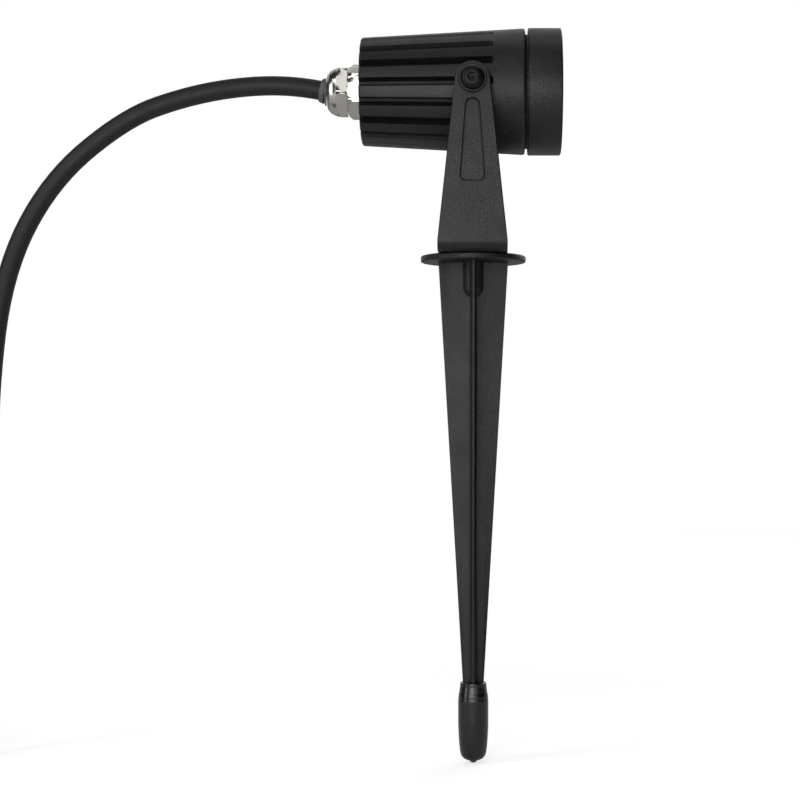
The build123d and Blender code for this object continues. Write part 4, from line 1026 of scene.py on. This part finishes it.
class SPOTLIGHT_OT_gland(bpy.types.Operator):
    """Gland: nickel-plated body and dome nut, with the rubber seal that grips the lead"""

    bl_idname = "spotlight.gland"
    bl_label = "Cable gland"

    def execute(self, context):
        half = GLAND_AF / 2
        body = rounded(
            [
                (-38.4, GLAND_BORE_R, 0),
                (-38.4, GLAND_THREAD_R, 0.4),
                (WALL_X, GLAND_THREAD_R, 0),
                (WALL_X, HEX_FACE_R, 0.1),
                (WALL_X - HEX_BEVEL, HEX_BAR_R, 0),
                (BODY_HEX_X + HEX_END_BEVEL, HEX_BAR_R, 0),
                (BODY_HEX_X, HEX_END_R, 0.15),
                (BODY_HEX_X, GLAND_THREAD_R, 0),
                (-53.6, GLAND_THREAD_R, 0.3),
                (-53.6, 6.3, 0.1),
                (-47.2, 6.3, 0),
                (-47.2, GLAND_BORE_R, 0),
            ],
            3,
        )
        piece = turned(body, 240, lambda a: half * hexagon(a + math.pi / 2, 30))
        as_piece(
            "gland_base",
            smooth_mesh("gland_base", piece, LAMP, 24),
            "head",
            "nickel",
            ("gland_body",),
        )
        nut = rounded(
            [
                (NUT_FRONT_X, 8.02, 0),
                (NUT_FRONT_X, HEX_FACE_R, 0.1),
                (NUT_FRONT_X - HEX_BEVEL, HEX_BAR_R, 0),
                (NUT_DOME_X + HEX_END_BEVEL, HEX_BAR_R, 0),
                (NUT_DOME_X, HEX_END_R, 0.1),
                (NUT_DOME_X, 9.6, 0.1),
                (-55.5, 9.15, 0.5),
                (-56.9, 8.35, 0.6),
                (-57.9, 7.2, 0.6),
                (NUT_END_X, 6.0, 0.3),
                (NUT_END_X, 5.36, 0.1),
                (-57.3, 5.36, 0),
                (-53.9, 8.02, 0),
            ],
            4,
        )
        piece = turned(nut, 240, lambda a: half * hexagon(a + math.pi / 2, 30 + NUT_TURN))
        as_piece(
            "gland_nut",
            smooth_mesh("gland_nut", piece, LAMP, 24),
            "head",
            "nickel",
            ("gland_dome_nut",),
        )
        as_piece("gland_lip", softened("gland_seal"), "head", "seal", ("gland_seal",))
        dress("gland_o_ring", "gasket")
        dress("cord_in_gland", "lead")
        return {"FINISHED"}


# ------------------------------------------------------------------ pivots, yoke, spike and cap
def button_head(seat, end, steps=6):
    """Outline of a button-head screw: shank, crowned head and the hexagon hole with its pin."""
    quarter = [math.radians(90 * k / steps) for k in range(steps + 1)]
    shank = [(end, 0, 0), (end, 2.2, 0), (end + 0.3, 2.5, 0), (seat, 2.5, 0)]
    rim = [(seat, 4.5, 0), (seat + 0.12, 4.72, 0)]
    crown = [(seat + 0.35 + 2.4 * math.sin(a), 2.0 + 2.75 * math.cos(a), 0) for a in quarter]
    hole = [(seat + 2.7, 1.75, 0), (seat + 2.6, 1.5, 1), (seat + 1.25, 1.5, 1)]
    pin = [(seat + 1.2, 0.55, 0), (seat + 2.3, 0.5, 0), (seat + 2.45, 0.38, 0), (seat + 2.45, 0, 0)]
    return shank + rim + crown + hole + pin


def screw_mesh(name, outline, place, segments=96):
    """Turned screw whose rings marked 1 are hexagons."""
    bm = bmesh.new()
    rings = []
    angles = [2 * math.pi * k / segments for k in range(segments)]
    for x, r, six in outline:
        reach = [r * (hexagon(a) if six else 1) for a in angles]
        rings.append([bm.verts.new((d * math.cos(a), d * math.sin(a), x)) for a, d in zip(angles, reach)])
    for ring, after in zip(rings, rings[1:]):
        for k in range(segments):
            j = (k + 1) % segments
            bm.faces.new((ring[k], ring[j], after[j], after[k]))
    bmesh.ops.remove_doubles(bm, verts=bm.verts, dist=0.0005)
    bmesh.ops.dissolve_degenerate(bm, edges=bm.edges, dist=0.0002)
    return smooth_mesh(name, bm, place, 30)


class SPOTLIGHT_OT_yoke(bpy.types.Operator):
    """Yoke: folded bracket with its sunk pockets and bosses, pivot screws and washers"""

    bl_idname = "spotlight.yoke"
    bl_label = "Yoke and pivot screws"

    def execute(self, context):
        as_piece(
            "yoke",
            softened("yoke_bracket", 0.3),
            "bracket",
            "powder",
            ("yoke_bracket",),
        )
        one = screw_mesh("pivot_screw", button_head(PIVOT_SEAT, PIVOT_SHANK_END), PIVOT)
        screws = repeated("pivot_screw_pair", one, 2, (0, 0, 1), "screw")
        as_piece(
            "pivot_screw_pair",
            joined("pivot_screw_pair", [screws], 30),
            "head",
            "screw",
            ("pivot_screws",),
        )
        dress("pivot_washers", "nylon")
        return {"FINISHED"}


class SPOTLIGHT_OT_spike(bpy.types.Operator):
    """Spike: flange, four tapering ribs and the screw that holds the yoke"""

    bl_idname = "spotlight.spike"
    bl_label = "Ground spike"

    def execute(self, context):
        as_piece(
            "spike",
            softened("ground_spike"),
            "spike",
            "spike",
            ("ground_spike",),
        )
        screw = screw_mesh("yoke_screw", button_head(YOKE_SEAT, YOKE_SHANK_END), UPRIGHT)
        as_piece("yoke_screw", screw, "spike", "screw", ("base_screw",))
        dress("base_washer", "screw")
        dress("spike_insert", "brass")
        return {"FINISHED"}


class SPOTLIGHT_OT_cap(bpy.types.Operator):
    """Cap: glossy dipped cap with its narrow rim and two faint creases"""

    bl_idname = "spotlight.cap"
    bl_label = "Tip cap"

    def execute(self, context):
        rim_r, full_r, rim_z, taper_z, swell = 5.22, 6.05, -168.0, -183.0, 7.0
        outline = [(-167.7, 4.4), (-167.72, 5.0), (-167.85, 5.18), (-168.1, 5.24), (-168.5, 5.26)]
        for k in range(40):
            z = -169.0 - k * 0.5
            r = rim_r + (full_r - rim_r) * eased((rim_z - z) / swell)
            if z < taper_z:
                r -= 0.7 * ((taper_z - z) / 12.0) ** 1.7
            for crease in (-171.6, -173.9):
                r -= 0.07 * math.exp(-(((z - crease) / 0.45) ** 2))
            outline.append((z, r))
        outline += [(-189.5, 5.83), (-191.5, 5.68), (-193.3, 5.52), (-195.0, 5.33), (-196.4, 5.02)]
        outline += [(-197.4, 4.5), (-198.1, 3.75), (-198.5, 2.9), (-198.75, 2.1), (-199.1, 1.5)]
        outline += [(-199.5, 1.15), (-199.75, 0.7), (-199.8, 0.0)]
        outline += [(-194.12, 0.0), (-194.12, 1.07), (-171.0, 4.17)]
        piece = turned(outline, 128)
        as_piece("cap", smooth_mesh("cap", piece, UPRIGHT, 40), "cap", "vinyl", ("tip_cap",))
        return {"FINISHED"}


# ------------------------------------------------------------------ stage, camera and lights
def pale_stage(name, colour, glow_near, glow_far):
    """Pale paper: nearly white in view, with the object's shadow, and plain in reflections."""
    made = bpy.data.materials.new(name)
    made.use_nodes = True
    tree = made.node_tree
    bsdf = tree.nodes["Principled BSDF"]
    bsdf.inputs["Base Color"].default_value = colour
    bsdf.inputs["Roughness"].default_value = 0.9
    # the lamps fade from 0.3 to 1.6 m out, and the glow makes up for it, so that no horizon shows
    where = node(tree, "ShaderNodeTexCoord").outputs["Object"]
    away = node(tree, "ShaderNodeVectorMath", {0: where}, operation="LENGTH").outputs["Value"]
    glow = node(
        tree,
        "ShaderNodeMapRange",
        {"Value": away, "From Min": 0.3, "From Max": 1.6, "To Min": glow_near, "To Max": glow_far},
    ).outputs["Result"]
    strength = node(tree, "ShaderNodeMath", {0: straight_rays(tree), 1: glow}, operation="MULTIPLY")
    bsdf.inputs["Emission Color"].default_value = (1, 1, 1, 1)
    tree.links.new(strength.outputs[0], bsdf.inputs["Emission Strength"])
    return made


def softbox(name, power, size, at, towards):
    """Square area light at a place, facing a point."""
    light = bpy.data.lights.new(name, "AREA")
    light.shape = "RECTANGLE"
    light.size, light.size_y = size
    light.energy = power
    lamp = bpy.data.objects.new(name, light)
    lamp.location = at
    lamp.rotation_euler = (Vector(towards) - Vector(at)).to_track_quat("-Z", "Y").to_euler()
    bpy.context.scene.collection.objects.link(lamp)


class SPOTLIGHT_OT_stage(bpy.types.Operator):
    """Stage: pale floor, softboxes, surroundings and the camera of the photograph"""

    bl_idname = "spotlight.stage"
    bl_label = "Stage, lights and camera"

    def execute(self, context):
        scene = context.scene
        stage = scene.spotlight_stage
        bm = bmesh.new()
        bmesh.ops.create_grid(bm, x_segments=2, y_segments=2, size=FLOOR_HALF)
        bmesh.ops.translate(bm, verts=bm.verts, vec=(0, 0, FLOOR_Z - FLOOR_GAP))
        mesh = bpy.data.meshes.new("floor")
        bm.to_mesh(mesh)
        bm.free()
        mesh.materials.append(pale_stage("floor_paper", stage.floor_colour, glow_near=0.61, glow_far=0.86))
        floor = bpy.data.objects.new("floor", mesh)
        scene.collection.objects.link(floor)

        softbox("key", stage.key_power, (0.8, 0.6), (-0.3, -1.15, 0.13), (-0.02, 0, 0.03))
        softbox("high", stage.high_power, (0.8, 0.42), (-0.2, -0.85, 0.9), (-0.04, 0, 0.07))
        softbox("side", stage.side_power, (0.3, 1.4), (-0.95, -0.5, 0.3), (-0.06, 0, 0.07))
        softbox("top", stage.top_power, (0.9, 0.5), (0.05, 0.1, 0.95), (0, 0, 0.06))
        softbox("low", stage.low_power, (0.9, 0.22), (0.1, -0.95, -0.06), (0, 0, 0.03))
        softbox("back", stage.back_power, (0.8, 0.5), (0.5, 0.8, 0.4), (0, 0, 0))

        world = bpy.data.worlds.new("surroundings")
        scene.world = world
        world.use_nodes = True
        tree = world.node_tree
        sky = tree.nodes["Background"]
        sky.inputs["Color"].default_value = (1, 1, 1, 1)
        seen = node(tree, "ShaderNodeLightPath").outputs
        # reflections see white paper behind the object and a dim room on its other sides
        ways = node(tree, "ShaderNodeSeparateXYZ", {0: node(tree, "ShaderNodeTexCoord").outputs["Generated"]})
        behind = node(
            tree,
            "ShaderNodeMapRange",
            {"Value": ways.outputs["Y"], "From Min": 0.3, "From Max": 0.85, "To Min": 0.03, "To Max": 0.85},
        ).outputs["Result"]
        glossy = node(tree, "ShaderNodeMath", {0: seen["Is Glossy Ray"], 1: behind}, operation="MULTIPLY")
        diffuse = node(tree, "ShaderNodeMath", {0: seen["Is Diffuse Ray"], 1: 0.15}, operation="MULTIPLY")
        level = straight_rays(tree)
        for share in (glossy, diffuse):
            inputs = {0: level, 1: share.outputs[0]}
            level = node(tree, "ShaderNodeMath", inputs, operation="MAXIMUM").outputs[0]
        tree.links.new(level, sky.inputs["Strength"])

        camera = bpy.data.objects.new("camera", bpy.data.cameras.new("camera"))
        camera.data.sensor_width = SENSOR_MM
        camera.data.lens = FOCAL_PX / FRAME_PX * SENSOR_MM
        camera.data.clip_start = 0.01
        camera.location = CAMERA_AT
        camera.rotation_euler = (math.radians(90), 0, 0)
        camera.data.shift_x, camera.data.shift_y = CAMERA_SHIFT
        scene.collection.objects.link(camera)
        scene.camera = camera
        scene.view_settings.view_transform = "Standard"
        return {"FINISHED"}


# ------------------------------------------------------------------ panel and registration
class SPOTLIGHT_PT_panel(bpy.types.Panel):
    """Sidebar panel with the sizes and one button for each group of pieces"""

    bl_idname = "SPOTLIGHT_PT_panel"
    bl_label = "Garden spotlight"
    bl_space_type = "VIEW_3D"
    bl_region_type = "UI"
    bl_category = "Spotlight"

    def draw(self, context):
        scene = context.scene
        for group in (scene.spotlight_head, scene.spotlight_lead, scene.spotlight_stage):
            box = self.layout.box()
            for name in group.__annotations__:
                box.prop(group, name)
        for operator in OPERATORS:
            self.layout.operator(operator.bl_idname)


GROUPS = (HeadSettings, LeadSettings, StageSettings)
OPERATORS = (
    SPOTLIGHT_OT_lead,
    SPOTLIGHT_OT_plug,
    SPOTLIGHT_OT_housing,
    SPOTLIGHT_OT_front,
    SPOTLIGHT_OT_gland,
    SPOTLIGHT_OT_yoke,
    SPOTLIGHT_OT_spike,
    SPOTLIGHT_OT_cap,
    SPOTLIGHT_OT_stage,
)
CLASSES = GROUPS + OPERATORS + (SPOTLIGHT_PT_panel,)


def register():
    for found in CLASSES:
        bpy.utils.register_class(found)
    bpy.types.Scene.spotlight_head = PointerProperty(type=HeadSettings)
    bpy.types.Scene.spotlight_lead = PointerProperty(type=LeadSettings)
    bpy.types.Scene.spotlight_stage = PointerProperty(type=StageSettings)


def unregister():
    for name in ("spotlight_stage", "spotlight_lead", "spotlight_head"):
        delattr(bpy.types.Scene, name)
    for found in reversed(CLASSES):
        bpy.utils.unregister_class(found)


def main():
    """Builds every piece through its operator."""
    register()
    for operator in OPERATORS:
        group, name = operator.bl_idname.split(".")
        getattr(getattr(bpy.ops, group), name)()


if __name__ == "__main__":
    main()
